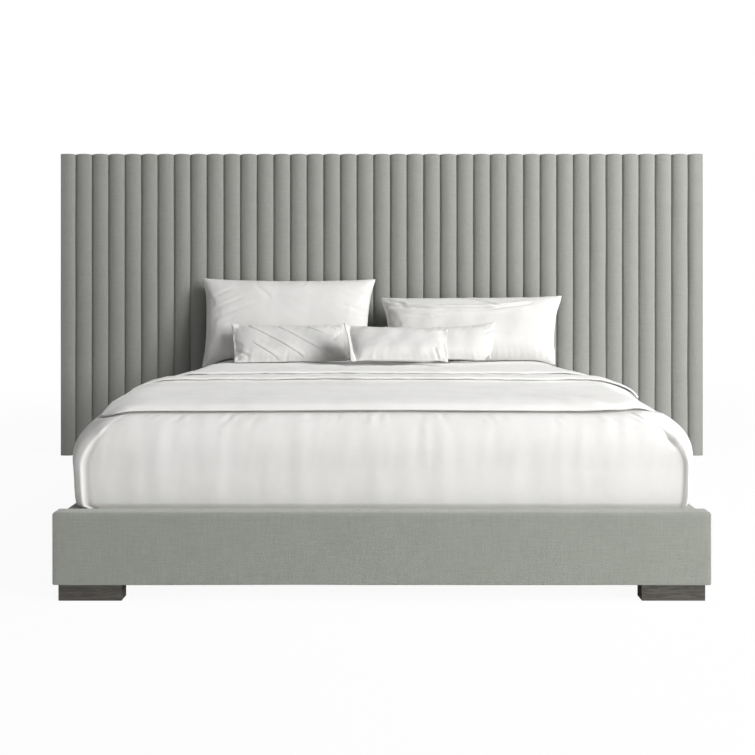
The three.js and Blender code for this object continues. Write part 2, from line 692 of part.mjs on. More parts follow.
/** A crowned cushion: an ellipsoid whose outline is squared towards its four corners. */
function cushion(width, height, thick) {
  const geometry = new THREE.SphereGeometry(1, 20, 8).rotateX(Math.PI / 2);
  const position = geometry.attributes.position;
  for (let index = 0; index < position.count; index += 1) {
    const x = position.getX(index);
    const y = position.getY(index);
    const radius = Math.hypot(x, y);
    const norm = (Math.abs(x) ** PILLOW_CORNER + Math.abs(y) ** PILLOW_CORNER) ** (1 / PILLOW_CORNER);
    const square = norm > 1e-6 ? radius / norm : 1;
    position.setX(index, (width / 2) * x * square);
    position.setY(index, (height / 2) * y * square);
    position.setZ(index, (thick / 2) * position.getZ(index));
  }
  return geometryOf(solid(geometry));
}

function buildBedding() {
  const { length, bottom, backY } = MATTRESS;
  place('mattress', mattress(), ticking, [0, backY - length / 2, bottom]);
  place('coverlet', coverlet(), cotton);
  place('blanket', blanket(), cotton);
  for (const { name, width, height, thick, lean, x, y } of PILLOWS) {
    const tilt = THREE.MathUtils.degToRad(lean);
    const drop = Math.hypot((height / 2) * Math.cos(tilt), (thick / 2) * Math.sin(tilt));
    const pillow = place(name, cushion(width, height, thick), cotton, [x, y, REST_Z + drop]);
    pillow.rotation.x = Math.PI / 2 - tilt;
  }
}

buildHeadboard();
buildRails();
buildSlatsAndSupport();
buildBedding();

export default bed;
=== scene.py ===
import math

import bmesh
import bpy
import numpy as np
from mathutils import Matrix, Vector


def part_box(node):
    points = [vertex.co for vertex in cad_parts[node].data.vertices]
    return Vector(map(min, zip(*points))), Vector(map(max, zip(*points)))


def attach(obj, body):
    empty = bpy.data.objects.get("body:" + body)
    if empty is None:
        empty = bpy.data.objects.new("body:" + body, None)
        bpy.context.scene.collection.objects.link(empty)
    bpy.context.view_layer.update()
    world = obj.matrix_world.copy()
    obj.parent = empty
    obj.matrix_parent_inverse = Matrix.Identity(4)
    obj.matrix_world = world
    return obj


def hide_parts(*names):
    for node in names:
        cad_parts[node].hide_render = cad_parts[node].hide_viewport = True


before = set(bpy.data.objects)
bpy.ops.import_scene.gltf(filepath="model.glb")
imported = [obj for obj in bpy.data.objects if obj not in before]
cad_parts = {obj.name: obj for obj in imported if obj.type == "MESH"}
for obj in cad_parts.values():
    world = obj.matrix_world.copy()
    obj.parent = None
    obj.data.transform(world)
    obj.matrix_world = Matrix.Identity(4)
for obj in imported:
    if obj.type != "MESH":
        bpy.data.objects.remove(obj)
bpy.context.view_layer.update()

bpy.context.scene.view_settings.view_transform = "Standard"
TURN = 2 * math.pi

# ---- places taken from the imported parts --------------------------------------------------

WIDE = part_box("footboard_cover")[1].x
FOOT_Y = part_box("footboard_cover")[0].y
FOOT_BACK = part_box("footboard_cover")[1].y
FOOT_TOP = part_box("footboard_cover")[1].z
RAIL_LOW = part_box("footboard_cover")[0].z
HEAD_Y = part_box("headboard_centre_channels")[0].y
BACK_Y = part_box("headboard_centre_frame")[1].y
PANEL_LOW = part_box("headboard_centre_channels")[0].z
PANEL_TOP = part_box("headboard_centre_channels")[1].z


# ---- shapes ------------------------------------------------------------------------------

def spaced(low, high, step):
    """Evenly spaced values from low to high, about step apart."""
    return np.linspace(low, high, max(2, int(round(abs(high - low) / step)) + 1))


def smooth(value, low, high):
    """Nought below low, one above high and an even ease between them."""
    share = np.clip((value - low) / (high - low), 0, 1)
    return share * share * (3 - 2 * share)


def pressed(value, limit, give):
    """Values past a limit squeezed to within give of it."""
    over = np.maximum(value - limit, 0)
    return np.minimum(value, limit) + give * (1 - np.exp(-over / give))


def bump(value, middle, width):
    """A bell of height one at middle, width wide at its waist."""
    return np.exp(-(((value - middle) / width) ** 2))


def waver(value, length, seed, parts=5):
    """An irregular wave between about -1 and 1: sines of nearly one length, with seeded phases."""
    draw = np.random.default_rng(seed)
    lengths = length * draw.uniform(0.6, 1.7, parts)
    phases = draw.uniform(0, TURN, parts)
    waves = np.sin(np.multiply.outer(value, TURN / lengths) + phases)
    return waves.sum(-1) / math.sqrt(parts) / 1.2


def crumple(first, second, length, seed, parts=7):
    """An irregular surface between about -1 and 1: plane waves in seeded directions."""
    draw = np.random.default_rng(seed)
    angles = draw.uniform(0, TURN, parts)
    lengths = length * draw.uniform(0.6, 1.8, parts)
    phases = draw.uniform(0, TURN, parts)
    across = np.multiply.outer(first, np.cos(angles)) + np.multiply.outer(second, np.sin(angles))
    return np.sin(across * TURN / lengths + phases).sum(-1) / math.sqrt(parts) / 1.2


def corner_arc(before, corner, after, radius):
    """Points of the arc that rounds a corner between its two tangent points.

    With h half the angle at the corner, the tangent points lie r / tan h away from it and the
    arc's centre r / sin h, half way between its two sides."""
    before, after = before - corner, after - corner
    before /= np.linalg.norm(before)
    after /= np.linalg.norm(after)
    half = 0.5 * math.acos(float(np.clip(before @ after, -1, 1)))
    middle = (before + after) / np.linalg.norm(before + after)
    centre = corner + middle * radius / math.sin(half)
    reach = radius / math.tan(half)
    start, end = corner + before * reach - centre, corner + after * reach - centre
    share = np.linspace(0, 1, 7)[:, None]
    sweep = math.pi - 2 * half
    return centre + (np.sin((1 - share) * sweep) * start + np.sin(share * sweep) * end) / math.sin(sweep)


def rounded_path(corners, radii, step):
    """A flat path with rounded corners, cut about every step: its points, its normals on the
    left, and lengths along it."""
    corners = np.asarray(corners, float)
    points = [corners[0]]
    for index in range(1, len(corners) - 1):
        before, corner, after = corners[index - 1 : index + 2]
        rounded = radii[index] > 0
        points.extend(corner_arc(before, corner, after, radii[index]) if rounded else [corner])
    points = np.array(points + [corners[-1]])
    gaps = np.linalg.norm(np.diff(points, axis=0), axis=1)
    points = points[np.concatenate([[True], gaps > 1e-7])]
    along = np.concatenate([[0], np.cumsum(np.linalg.norm(np.diff(points, axis=0), axis=1))])
    filled = [spaced(a, b, step)[:-1] for a, b in zip(along[:-1], along[1:])]
    lengths = np.concatenate(filled + [[along[-1]]])
    line = np.stack([np.interp(lengths, along, points[:, axis]) for axis in (0, 1)], -1)
    heading = np.gradient(line, lengths, axis=0)
    heading /= np.linalg.norm(heading, axis=1, keepdims=True)
    normals = np.stack([-heading[:, 1], heading[:, 0]], -1)
    return line, normals, lengths


class Patch:
    """A grid of points held row by row, with cloth coordinates in metres."""

    def __init__(self, points, flat=None):
        self.points = np.asarray(points, float)
        self.flat = measured(self.points) if flat is None else flat


def measured(points):
    """Cloth coordinates: lengths across and along a grid of points, averaged over it."""
    across = np.linalg.norm(np.diff(points, axis=1), axis=2).mean(0)
    along = np.linalg.norm(np.diff(points, axis=0), axis=2).mean(1)
    first = np.concatenate([[0], np.cumsum(across)])
    second = np.concatenate([[0], np.cumsum(along)])
    return np.stack(np.meshgrid(first, second), -1)


def normals_of(points):
    """Unit normals of a grid of points, from the cross product of its two directions."""
    across = np.gradient(points, axis=1)
    along = np.gradient(points, axis=0)
    normal = np.cross(across, along)
    return normal / np.maximum(np.linalg.norm(normal, axis=2, keepdims=True), 1e-12)


def quads(rows, columns):
    """The four-sided faces of a grid, as numbers of its points."""
    row, column = np.meshgrid(np.arange(rows - 1), np.arange(columns - 1), indexing="ij")
    corner = row * columns + column
    return np.stack([corner, corner + 1, corner + columns + 1, corner + columns], -1).reshape(-1, 4)


def new_mesh(name, points, faces, flat):
    """A mesh of four-sided faces, with cloth coordinates for each point."""
    mesh = bpy.data.meshes.new(name)
    mesh.vertices.add(len(points))
    mesh.vertices.foreach_set("co", points.astype(np.float32).ravel())
    mesh.loops.add(faces.size)
    mesh.loops.foreach_set("vertex_index", faces.astype(np.int32).ravel())
    mesh.polygons.add(len(faces))
    mesh.polygons.foreach_set("loop_start", np.arange(0, faces.size, 4, dtype=np.int32))
    mesh.update(calc_edges=True)
    layer = mesh.uv_layers.new(name="cloth")
    layer.data.foreach_set("uv", flat[faces].astype(np.float32).ravel())
    return mesh


def weld_points(mesh, distance, outward):
    """Joins points that lie within a distance, and turns the faces outwards if asked."""
    shell = bmesh.new()
    shell.from_mesh(mesh)
    bmesh.ops.remove_doubles(shell, verts=shell.verts, dist=distance)
    if outward:
        bmesh.ops.recalc_face_normals(shell, faces=shell.faces)
    shell.to_mesh(mesh)
    shell.free()


def shade_smooth(mesh):
    """Smooth shading on every face."""
    mesh.polygons.foreach_set("use_smooth", np.ones(len(mesh.polygons), bool))


def build(name, patches, material, body, sharp=None, weld=2e-5, outward=True):
    """A piece from grids of points: welded, its faces turned outwards, and riding on a body."""
    sizes = [patch.points.shape[:2] for patch in patches]
    starts = np.cumsum([0] + [rows * columns for rows, columns in sizes])
    faces = np.concatenate([quads(*size) + start for size, start in zip(sizes, starts)])
    points = np.concatenate([patch.points.reshape(-1, 3) for patch in patches])
    flat = np.concatenate([patch.flat.reshape(-1, 2) for patch in patches])
    mesh = new_mesh(name, points, faces, flat)
    weld_points(mesh, weld, outward)
    shade_smooth(mesh)
    if sharp is not None:
        mesh.set_sharp_from_angle(angle=math.radians(sharp))
    mesh.materials.append(material)
    made = bpy.data.objects.new(name, mesh)
    bpy.context.scene.collection.objects.link(made)
    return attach(made, body)


def thicken(made, thickness, offset=-1.0):
    """Gives a sheet its thickness, inwards from its face."""
    solidify = made.modifiers.new("thickness", "SOLIDIFY")
    solidify.thickness = thickness
    solidify.offset = offset
    return made


def lathe(profile, centre, axis=(0, 0, 1), segments=16, lobes=0, depth=0.0):
    """A turned shape from (radius, height) pairs; lobes pull some of its rings in and out.

    The point at angle a on a ring of radius r is r times cos a and sin a across the axis."""
    profile = np.asarray(profile, float)
    angle = np.linspace(0, TURN, segments + 1)
    wave = 1 - depth * (0.5 + 0.5 * np.cos(lobes * angle)) if lobes else np.ones_like(angle)
    radius = profile[:, 0:1] * np.ones_like(angle)
    if profile.shape[1] > 2:
        radius = radius * np.where(profile[:, 2:3] > 0, wave, 1)
    side, up = frame_of(axis)
    ring = radius[..., None] * (np.cos(angle)[:, None] * side + np.sin(angle)[:, None] * up)
    return ring + profile[:, 1][:, None, None] * np.asarray(axis, float) + np.asarray(centre, float)


def frame_of(axis):
    """Two unit directions square to an axis and to each other."""
    axis = np.asarray(axis, float)
    side = np.cross((0, 0, 1), axis)
    if np.linalg.norm(side) < 1e-6:
        side = np.array((1.0, 0, 0))
    side /= np.linalg.norm(side)
    return side, np.cross(axis, side)


def tube(path, radius, sides):
    """A round cord along a closed path: rings square to it, held upright, radius out from it."""
    path = np.asarray(path, float)
    heading = np.gradient(path, axis=0)
    heading[0] = heading[-1] = path[1] - path[-2]
    heading /= np.linalg.norm(heading, axis=1, keepdims=True)
    side = np.cross(heading, (0, 0, 1.0))
    side /= np.maximum(np.linalg.norm(side, axis=1, keepdims=True), 1e-9)
    up = np.cross(side, heading)
    angle = np.linspace(0, TURN, sides + 1)[:, None, None]
    return (path + radius * (np.cos(angle) * side + np.sin(angle) * up)).transpose(1, 0, 2)


def scattered(shape, places):
    """Copies of one small grid at several places, as a list of grids."""
    return [shape + np.asarray(place, float) for place in places]


# ---- materials ---------------------------------------------------------------------------

THREAD_PITCH = 0.0016
WELD_PITCH = 0.004
LOZENGE_PITCH = 0.09

def shade(red, green, blue):
    """A colour as it looks on a screen, 0 to 255, turned to linear light."""
    values = np.array((red, green, blue)) / 255
    return tuple(np.where(values <= 0.04045, values / 12.92, ((values + 0.055) / 1.055) ** 2.4))


class Wire:
    """A node's output, with the arithmetic of ordinary numbers."""

    def __init__(self, finish, socket):
        self.finish, self.socket = finish, socket

    def maths(self, operation, *values):
        """A Math node on wires and numbers."""
        return self.finish.node("ShaderNodeMath", {"operation": operation}, dict(enumerate(values)))

    def __add__(self, other):
        return self.maths("ADD", self, other)

    def __sub__(self, other):
        return self.maths("SUBTRACT", self, other)

    def __rsub__(self, other):
        return self.maths("SUBTRACT", other, self)

    def __mul__(self, other):
        return self.maths("MULTIPLY", self, other)

    __radd__, __rmul__ = __add__, __mul__

    def sine(self):
        """The sine of an angle in radians."""
        return self.maths("SINE", self)

    def between(self, low, high):
        """Nought below low and one above high, eased."""
        values = {"Value": self, "From Min": low, "From Max": high}
        return self.finish.node("ShaderNodeMapRange", {"interpolation_type": "SMOOTHSTEP"}, values)


class Finish:
    """A material: one principled shader, and nodes added to it by name."""

    def __init__(self, name, color, roughness, metallic=0.0, **fixed):
        self.material = bpy.data.materials.new(name)
        self.material.use_nodes = True
        self.tree = self.material.node_tree
        self.shader = self.tree.nodes["Principled BSDF"]
        self.put(self.shader, {"Base Color": color, "Roughness": roughness, "Metallic": metallic})
        self.paint(**fixed)

    def put(self, node, values):
        """Sets a node's inputs: wires are linked, and colours and numbers written."""
        for key, value in values.items():
            socket = node.inputs[key]
            if isinstance(value, Wire):
                self.tree.links.new(value.socket, socket)
            elif isinstance(value, tuple) and socket.type == "RGBA":
                socket.default_value = (*value[:3], 1)
            else:
                socket.default_value = value

    def node(self, kind, settings=None, values=None, output=0):
        """Adds a node of that kind: its settings first, then its inputs; gives back one output."""
        made = self.tree.nodes.new(kind)
        for key, value in (settings or {}).items():
            setattr(made, key, value)
        self.put(made, values or {})
        return Wire(self, made.outputs[output])

    def place(self, kind="Object"):
        """A point's coordinates on its object, or on its cloth with "UV"."""
        return self.node("ShaderNodeTexCoord", output=kind)

    def stretched(self, place, scale):
        """A place scaled by a number in each direction."""
        return self.node("ShaderNodeMapping", None, {"Vector": place, "Scale": scale})

    def turns(self, place, pitch):
        """The first two coordinates of a place as angles, one full turn every pitch metres."""
        angles = {"Vector": self.stretched(place, (TURN / pitch,) * 3)}
        return [self.node("ShaderNodeSeparateXYZ", None, angles, axis) for axis in ("X", "Y")]

    def noise(self, place, scale, detail, rough=0.55):
        """Fractal noise between about 0.25 and 0.75."""
        values = {"Vector": place, "Scale": scale, "Detail": detail, "Roughness": rough}
        return self.node("ShaderNodeTexNoise", None, values)

    def mix(self, factor, first, second):
        """A colour between two, by a factor from nought to one."""
        values = {0: factor, 6: first, 7: second}
        return self.node("ShaderNodeMix", {"data_type": "RGBA"}, values, output=2)

    def bump(self, height, distance, strength):
        """Relief in the shading only: a height from nought to one, times a distance in metres."""
        values = {"Height": height, "Distance": distance, "Strength": strength}
        self.paint(Normal=self.node("ShaderNodeBump", None, values))

    def paint(self, **values):
        """Sets the principled shader's inputs, with _ for each space in their names."""
        self.put(self.shader, {key.replace("_", " "): value for key, value in values.items()})


def linen(name, dark, light, **fixed):
    """Slub linen: two sets of threads at right angles, with long thick slubs in both directions."""
    finish = Finish(name, light, 0.88, **fixed)
    cloth = finish.place("UV")
    warp = finish.noise(finish.stretched(cloth, (650, 34, 1)), 1.0, 2.0)
    weft = finish.noise(finish.stretched(cloth, (34, 650, 1)), 1.0, 2.0)
    slub_up = finish.noise(finish.stretched(cloth, (190, 11, 1)), 1.0, 2.0)
    slub_across = finish.noise(finish.stretched(cloth, (11, 190, 1)), 1.0, 2.0)
    cloud = finish.noise(cloth, 9.0, 2.0)
    tone = warp * 0.26 + weft * 0.26 + slub_up * 0.2 + slub_across * 0.2 + cloud * 0.08
    finish.paint(Base_Color=finish.mix(tone.between(0.3, 0.7), dark, light))
    across, along = finish.turns(cloth, THREAD_PITCH)
    weave = across.sine() * along.sine()
    finish.bump(weave * 0.3 + tone, 0.0006, 0.7)
    return finish.material


def cotton(name, color, shadow, **fixed):
    """Smooth cotton: an even fine weave, faint clouding and a soft rumple."""
    finish = Finish(name, color, 0.8, **fixed)
    cloth = finish.place("UV")
    cloud = finish.noise(finish.place(), 5.0, 3.0)
    threads = finish.noise(finish.stretched(cloth, (900, 120, 1)), 1.0, 1.0)
    cross = finish.noise(finish.stretched(cloth, (120, 900, 1)), 1.0, 1.0)
    tone = finish.mix((cloud * 0.7 + threads * 0.15 + cross * 0.15).between(0.3, 0.6), shadow, color)
    finish.paint(Base_Color=tone)
    rumple = finish.noise(finish.place(), 26.0, 3.0, 0.45)
    finish.bump(rumple + (threads + cross) * 0.05, 0.0016, 0.35)
    return finish.material


def wood(name, light, dark, grain, roughness, **fixed):
    """Planed timber: growth rings stretched along the grain, with fine pores."""
    finish = Finish(name, light, roughness, **fixed)
    place = finish.place()
    rings = finish.noise(finish.stretched(place, grain), 1.0, 4.0, 0.6)
    bands = (rings * 34).sine() * 0.5 + 0.5
    pores = finish.noise(finish.stretched(place, tuple(9 * g for g in grain)), 1.0, 2.0)
    tone = bands * 0.45 + pores * 0.55
    finish.paint(Base_Color=finish.mix(tone.between(0.25, 0.75), light, dark))
    finish.paint(Roughness=tone * 0.12 + (roughness - 0.06))
    finish.bump(tone, 0.0004, 0.35)
    return finish.material


def metal(name, color, worn, roughness, metallic, grain=240.0):
    """Plated or coated steel: a fine mottle in its colour and polish."""
    finish = Finish(name, color, roughness, metallic)
    spots = finish.noise(finish.place(), grain, 3.0)
    finish.paint(Base_Color=finish.mix(spots.between(0.35, 0.75), color, worn))
    finish.paint(Roughness=spots * 0.22 + (roughness - 0.11))
    finish.bump(spots, 0.0002, 0.4)
    return finish.material


def moulded(name, color, roughness):
    """Moulded nylon: a fine spark-eroded grain."""
    finish = Finish(name, color, roughness)
    grain = finish.noise(finish.place(), 900.0, 2.0)
    finish.paint(Roughness=grain * 0.2 + (roughness - 0.1))
    finish.bump(grain, 0.0001, 0.5)
    return finish.material


def felted(name, color, pale):
    """Spun-bonded dust cloth: short pressed fibres and a grid of tiny weld points."""
    finish = Finish(name, color, 0.95)
    cloth = finish.place("UV")
    fibres = finish.noise(cloth, 420.0, 4.0, 0.7)
    across, along = finish.turns(cloth, WELD_PITCH)
    points = across.sine() * along.sine()
    finish.paint(Base_Color=finish.mix((fibres + points * 0.12).between(0.4, 0.75), color, pale))
    finish.bump(fibres + points * 0.5, 0.0004, 0.6)
    return finish.material


def knitted(name, color, shadow):
    """Mattress ticking: a damask-like lattice of raised lozenges over a fine knit."""
    finish = Finish(name, color, 0.85)
    cloth = finish.place("UV")
    across, along = finish.turns(cloth, LOZENGE_PITCH)
    lattice = (across + along).sine() * (across - along).sine()
    knit = finish.noise(finish.stretched(cloth, (700, 260, 1)), 1.0, 2.0)
    finish.paint(Base_Color=finish.mix((lattice * 0.3 + knit).between(0.3, 0.8), shadow, color))
    finish.bump(lattice * 0.6 + knit * 0.2, 0.002, 0.5)
    return finish.material


HEADBOARD_LINEN = linen("headboard_linen", shade(134, 135, 130), shade(151, 152, 147),
                        Sheen_Weight=0.3, Sheen_Roughness=0.5)
RAIL_LINEN = linen("rail_linen", shade(133, 136, 127), shade(152, 155, 146),
                   Sheen_Weight=0.4, Sheen_Roughness=0.5)
COTTON = cotton("white_cotton", shade(225, 224, 222), shade(219, 218, 215), Sheen_Weight=0.1)
BRUSHED = cotton("brushed_cotton", shade(238, 237, 235), shade(231, 230, 227), Sheen_Weight=0.45)
SHEETING = cotton("sheeting", shade(226, 225, 223), shade(219, 218, 215), Sheen_Weight=0.1)
PINE_ACROSS = wood("pine_across", shade(222, 190, 142), shade(190, 148, 98), (1.2, 14, 14), 0.62)
PINE_ALONG = wood("pine_along", shade(222, 190, 142), shade(190, 148, 98), (14, 1.2, 14), 0.62)
PINE_UP = wood("pine_up", shade(218, 186, 140), shade(186, 144, 96), (14, 14, 1.2), 0.62)
ESPRESSO = wood("espresso", shade(78, 74, 68), shade(54, 50, 45), (5, 5, 60), 0.4, Coat_Weight=0.3)
BLACK_STEEL = metal("black_steel", shade(42, 42, 44), shade(60, 60, 62), 0.5, 0.4)
ZINC = metal("zinc", shade(196, 198, 202), shade(160, 164, 170), 0.35, 1.0, 90.0)
NYLON = moulded("nylon", shade(34, 34, 35), 0.55)
TICKING = knitted("ticking", shade(240, 238, 232), shade(222, 219, 211))
BINDING = cotton("binding", shade(205, 205, 203), shade(190, 190, 188))
DUST_CLOTH = felted("dust_cloth", shade(58, 58, 60), shade(84, 84, 87))


# ---- camera, light and floor -------------------------------------------------------------

CAMERA_PLACE = (0.0, -3.5525, 0.992)
LENS = 36.43
SHIFT = (-0.0057, -0.1146)


def make_camera():
    """A level camera with a shifted lens, which keeps upright lines upright."""
    lens = bpy.data.cameras.new("camera")
    lens.lens, lens.sensor_width = LENS, 36.0
    lens.shift_x, lens.shift_y = SHIFT
    camera = bpy.data.objects.new("camera", lens)
    camera.location = CAMERA_PLACE
    camera.rotation_euler = (math.radians(90), 0, 0)
    bpy.context.scene.collection.objects.link(camera)
    bpy.context.scene.camera = camera


def area_lamp(name, place, target, size, power):
    """A rectangular soft lamp at a place, facing a target."""
    light = bpy.data.lights.new(name, "AREA")
    light.shape, light.size, light.size_y, light.energy = "RECTANGLE", size[0], size[1], power
    lamp = bpy.data.objects.new(name, light)
    lamp.location = place
    facing = Vector(target) - lamp.location
    lamp.rotation_euler = facing.to_track_quat("-Z", "Y").to_euler()
    bpy.context.scene.collection.objects.link(lamp)


def make_world(level):
    """White to the camera and to mirrors, and an even grey light of that level to all else."""
    world = bpy.data.worlds.new("studio")
    bpy.context.scene.world = world
    world.use_nodes = True
    tree = world.node_tree
    background = tree.nodes["Background"]
    background.inputs["Color"].default_value = (1, 1, 1, 1)
    path = tree.nodes.new("ShaderNodeLightPath")
    seen = tree.nodes.new("ShaderNodeMath")
    seen.operation = "MAXIMUM"
    tree.links.new(path.outputs["Is Camera Ray"], seen.inputs[0])
    tree.links.new(path.outputs["Is Glossy Ray"], seen.inputs[1])
    strength = tree.nodes.new("ShaderNodeMapRange")
    strength.inputs["To Min"].default_value = level
    strength.inputs["To Max"].default_value = 1.0
    tree.links.new(seen.outputs[0], strength.inputs["Value"])
    tree.links.new(strength.outputs[0], background.inputs["Strength"])


def make_floor(lift):
    """A pale floor that keeps the shadow; lift is the share of plain white the camera sees on it."""
    half = 30.0
    grid = np.array([[[-half, -half, 0], [half, -half, 0]], [[-half, half, 0], [half, half, 0]]])
    mesh = bpy.data.meshes.new("floor")
    mesh.from_pydata(grid.reshape(-1, 3).tolist(), [], [(0, 1, 3, 2)])
    floor = bpy.data.objects.new("floor", mesh)
    bpy.context.scene.collection.objects.link(floor)
    finish = Finish("floor", shade(246, 246, 246), 0.9)
    grain = finish.noise(finish.place(), 30.0, 3.0)
    finish.paint(Roughness=grain * 0.1 + 0.85)
    path = finish.node("ShaderNodeLightPath", output="Is Camera Ray")
    far = finish.node("ShaderNodeVectorMath", {"operation": "LENGTH"}, {0: finish.place()}, "Value")
    share = path * (far.between(2.0, 7.0) * (1.0 - lift) + lift)
    white = finish.node("ShaderNodeEmission", None, {"Strength": 1.0})
    lit = Wire(finish, finish.shader.outputs[0])
    shown = finish.node("ShaderNodeMixShader", None, {0: share, 1: lit, 2: white})
    finish.put(finish.tree.nodes["Material Output"], {"Surface": shown})
    mesh.materials.append(finish.material)


make_camera()
area_lamp("key", (7.9, -5.5, 3.0), (-0.3, 0.4, 0.7), (4.0, 3.0), 525)
area_lamp("high", (6.4, -3.9, 6.2), (-0.3, 0.4, 0.7), (3.6, 3.0), 635)
area_lamp("front", (3.2, -5.4, 2.4), (0.0, 0.0, 0.6), (3.0, 2.4), 26)
area_lamp("left", (-4.5, -4.5, 2.6), (-0.6, 0.6, 0.8), (3.0, 2.4), 22)
area_lamp("back", (-3.6, 5.6, 2.8), (0.0, 1.0, 0.8), (3.0, 2.4), 90)
make_world(0.06)
make_floor(0.94)


# ---- headboard ---------------------------------------------------------------------------

SEAM_SINK = 0.015
GROOVE_SINK = 0.006
CROWN = 2.0
OUTER_SINK = 0.004
TOP_DIP = 0.0025
CHANNEL_STEPS = 14
TOP_ROUND = 0.007
LOW_ROUND = 0.006
BACK_ROUND = 0.004
LIP = 0.034
LIP_STAND = 0.0008
UNDER_STAND = 0.0002
CLOTH_INSET = 0.012
DUST_STAND = 0.0012
DUST_STEP = 0.03
PLATE_GAP = 0.008
STAPLE = 0.011


def channel_widths(key):
    """The widths of a panel's channels from left to right."""
    pitch, side_pitch, edge = 0.1, 0.0985, 0.085
    side = [side_pitch] * 8
    return {"left": [edge] + side, "centre": [pitch] * 21, "right": side + [edge]}[key]


def channel_section(key):
    """Across a panel: place, sink behind the crests, closeness to a seam, and channel number.

    In each channel the sink is the seam's sink times the distance from its middle to a power,
    with a narrow groove at the stitch line; the headboard's two outer edges sink less."""
    widths = channel_widths(key)
    share = np.sin(np.linspace(-0.5, 0.5, CHANNEL_STEPS + 1) * math.pi)
    starts = np.concatenate([[0], np.cumsum(widths)]) - sum(widths) / 2
    place, sink, near, number = [], [], [], []
    for index, width in enumerate(widths):
        last = None if index == len(widths) - 1 else -1
        side = share[:last]
        edge = np.abs(side)
        outer = (key == "left" and index == 0) * (side < 0) + (key == "right" and last is None) * (side > 0)
        place.append(starts[index] + width / 2 * (1 + side))
        distance = (1 - edge) * width / 2
        depth = np.where(outer, OUTER_SINK, SEAM_SINK)
        sink.append(depth * edge ** CROWN + GROOVE_SINK * bump(distance, 0, 0.0035) * (1 - outer))
        near.append(bump(distance, 0, 0.011) * (1 - outer))
        number.append(np.full(len(edge), index))
    return (np.concatenate(part) for part in (place, sink, near, number))


def headboard_panel(key):
    """The padded cover: the channel section carried from under the bottom edge, up the front,
    over the rolled top and down a lip behind; flat cheeks close its two sides."""
    low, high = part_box(f"headboard_{key}_channels")
    middle = (low.x + high.x) / 2
    half = (high.x - low.x) / 2
    across, sink, near, number = channel_section(key)
    deep = BACK_Y - HEAD_Y
    behind, under = deep + LIP_STAND, PANEL_LOW - UNDER_STAND
    corners = [(behind, under + LIP), (behind, under), (0, under), (0, PANEL_TOP), (behind, PANEL_TOP),
               (behind, PANEL_TOP - LIP)]
    path, _, length = rounded_path(corners, [0, 0.002, LOW_ROUND, TOP_ROUND, BACK_ROUND, 0], 0.009)
    back, height = path[:, 0, None], path[:, 1, None]
    seed = {"left": 11, "centre": 12, "right": 13}[key]
    pucker = waver(height + number * 0.37, 0.034, seed) * near * 0.0011
    plump = crumple(across[None, :] * 2.0, height, 0.5, seed + 5) * 0.0011 * (1 - near)
    stray = waver(height + number * 1.7, 0.9, seed + 9) * 0.0012
    plain = smooth(height, PANEL_TOP - 0.03, PANEL_TOP - 0.006)
    depth = sink + (pucker - np.maximum(plump, 0)) * (1 - plain)
    held = np.clip(1 - back / deep, 0, 1)
    shift = stray * near * held * (1 - plain) * (np.abs(np.abs(across) - half) > 0.01)
    x = np.broadcast_to(middle + across[None, :] + shift, depth.shape)
    y = HEAD_Y + back + depth * held
    z = height - TOP_DIP * sink / SEAM_SINK * plain * held
    points = np.stack(np.broadcast_arrays(x, y, z), -1)
    flat = np.stack(np.broadcast_arrays(across[None, :] + middle, length[:, None]), -1)
    patches = [Patch(points, flat)]
    for column, sign in ((0, -1), (-1, 1)):
        patches.append(panel_cheek(points[:, column], middle + sign * half, deep))
    cover = build(f"headboard_{key}_upholstery", patches, HEADBOARD_LINEN, "frame", weld=5e-5)
    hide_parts(f"headboard_{key}_channels")


def panel_cheek(edge, x, deep):
    """A panel's side: straight lines from the front's edge back to the frame's back."""
    back = HEAD_Y + deep + LIP_STAND - BACK_ROUND
    height = np.clip(edge[:, 2], PANEL_LOW, PANEL_TOP - BACK_ROUND)
    target = np.stack([np.full(len(edge), x), np.full(len(edge), back), height], -1)
    start = np.stack([edge[:, 0], np.minimum(edge[:, 1], back), edge[:, 2]], -1)
    share = np.linspace(0, 1, 8)[None, :, None]
    return Patch(start[:, None, :] * (1 - share) + target[:, None, :] * share)


def panel_back_lip(key):
    """The cloth turned onto the frame's back along a panel's two sides, with its raw edge."""
    low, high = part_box(f"headboard_{key}_channels")
    plates = plates_on(low, high)
    face = BACK_Y + LIP_STAND
    strips = []
    for x, sign in ((low.x, 1), (high.x, -1)):
        stops = sorted({PANEL_LOW, PANEL_TOP - LIP * 0.4} | {
            z for a, b in plates if a.x - 0.01 < x < b.x + 0.01 for z in (a.z - 0.002, b.z + 0.002)})
        for start, end in zip(stops[::2], stops[1::2]):
            z = spaced(start, end, 0.02)
            along = np.array([0, 0.3, 0.7, 1.0])
            width = LIP + 0.002 * waver(z, 0.12, 31)
            grid_x = x + sign * along[None, :] * width[:, None]
            grid_y = face + np.array([-BACK_ROUND, 0, 0, -0.0006])[None, :] + 0 * z[:, None]
            grid = np.stack([grid_x, grid_y, z[:, None] + 0 * grid_x], -1)
            strips.append(Patch(grid[:, ::-sign]))
    lip = build(f"headboard_{key}_back_lip", strips, HEADBOARD_LINEN, "frame", outward=False)


def plates_on(low, high):
    """The boxes of the join plates that lie over a panel's back."""
    boxes = [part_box(name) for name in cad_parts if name.startswith("join_plate")]
    return [(a, b) for a, b in boxes if b.x > low.x and a.x < high.x]


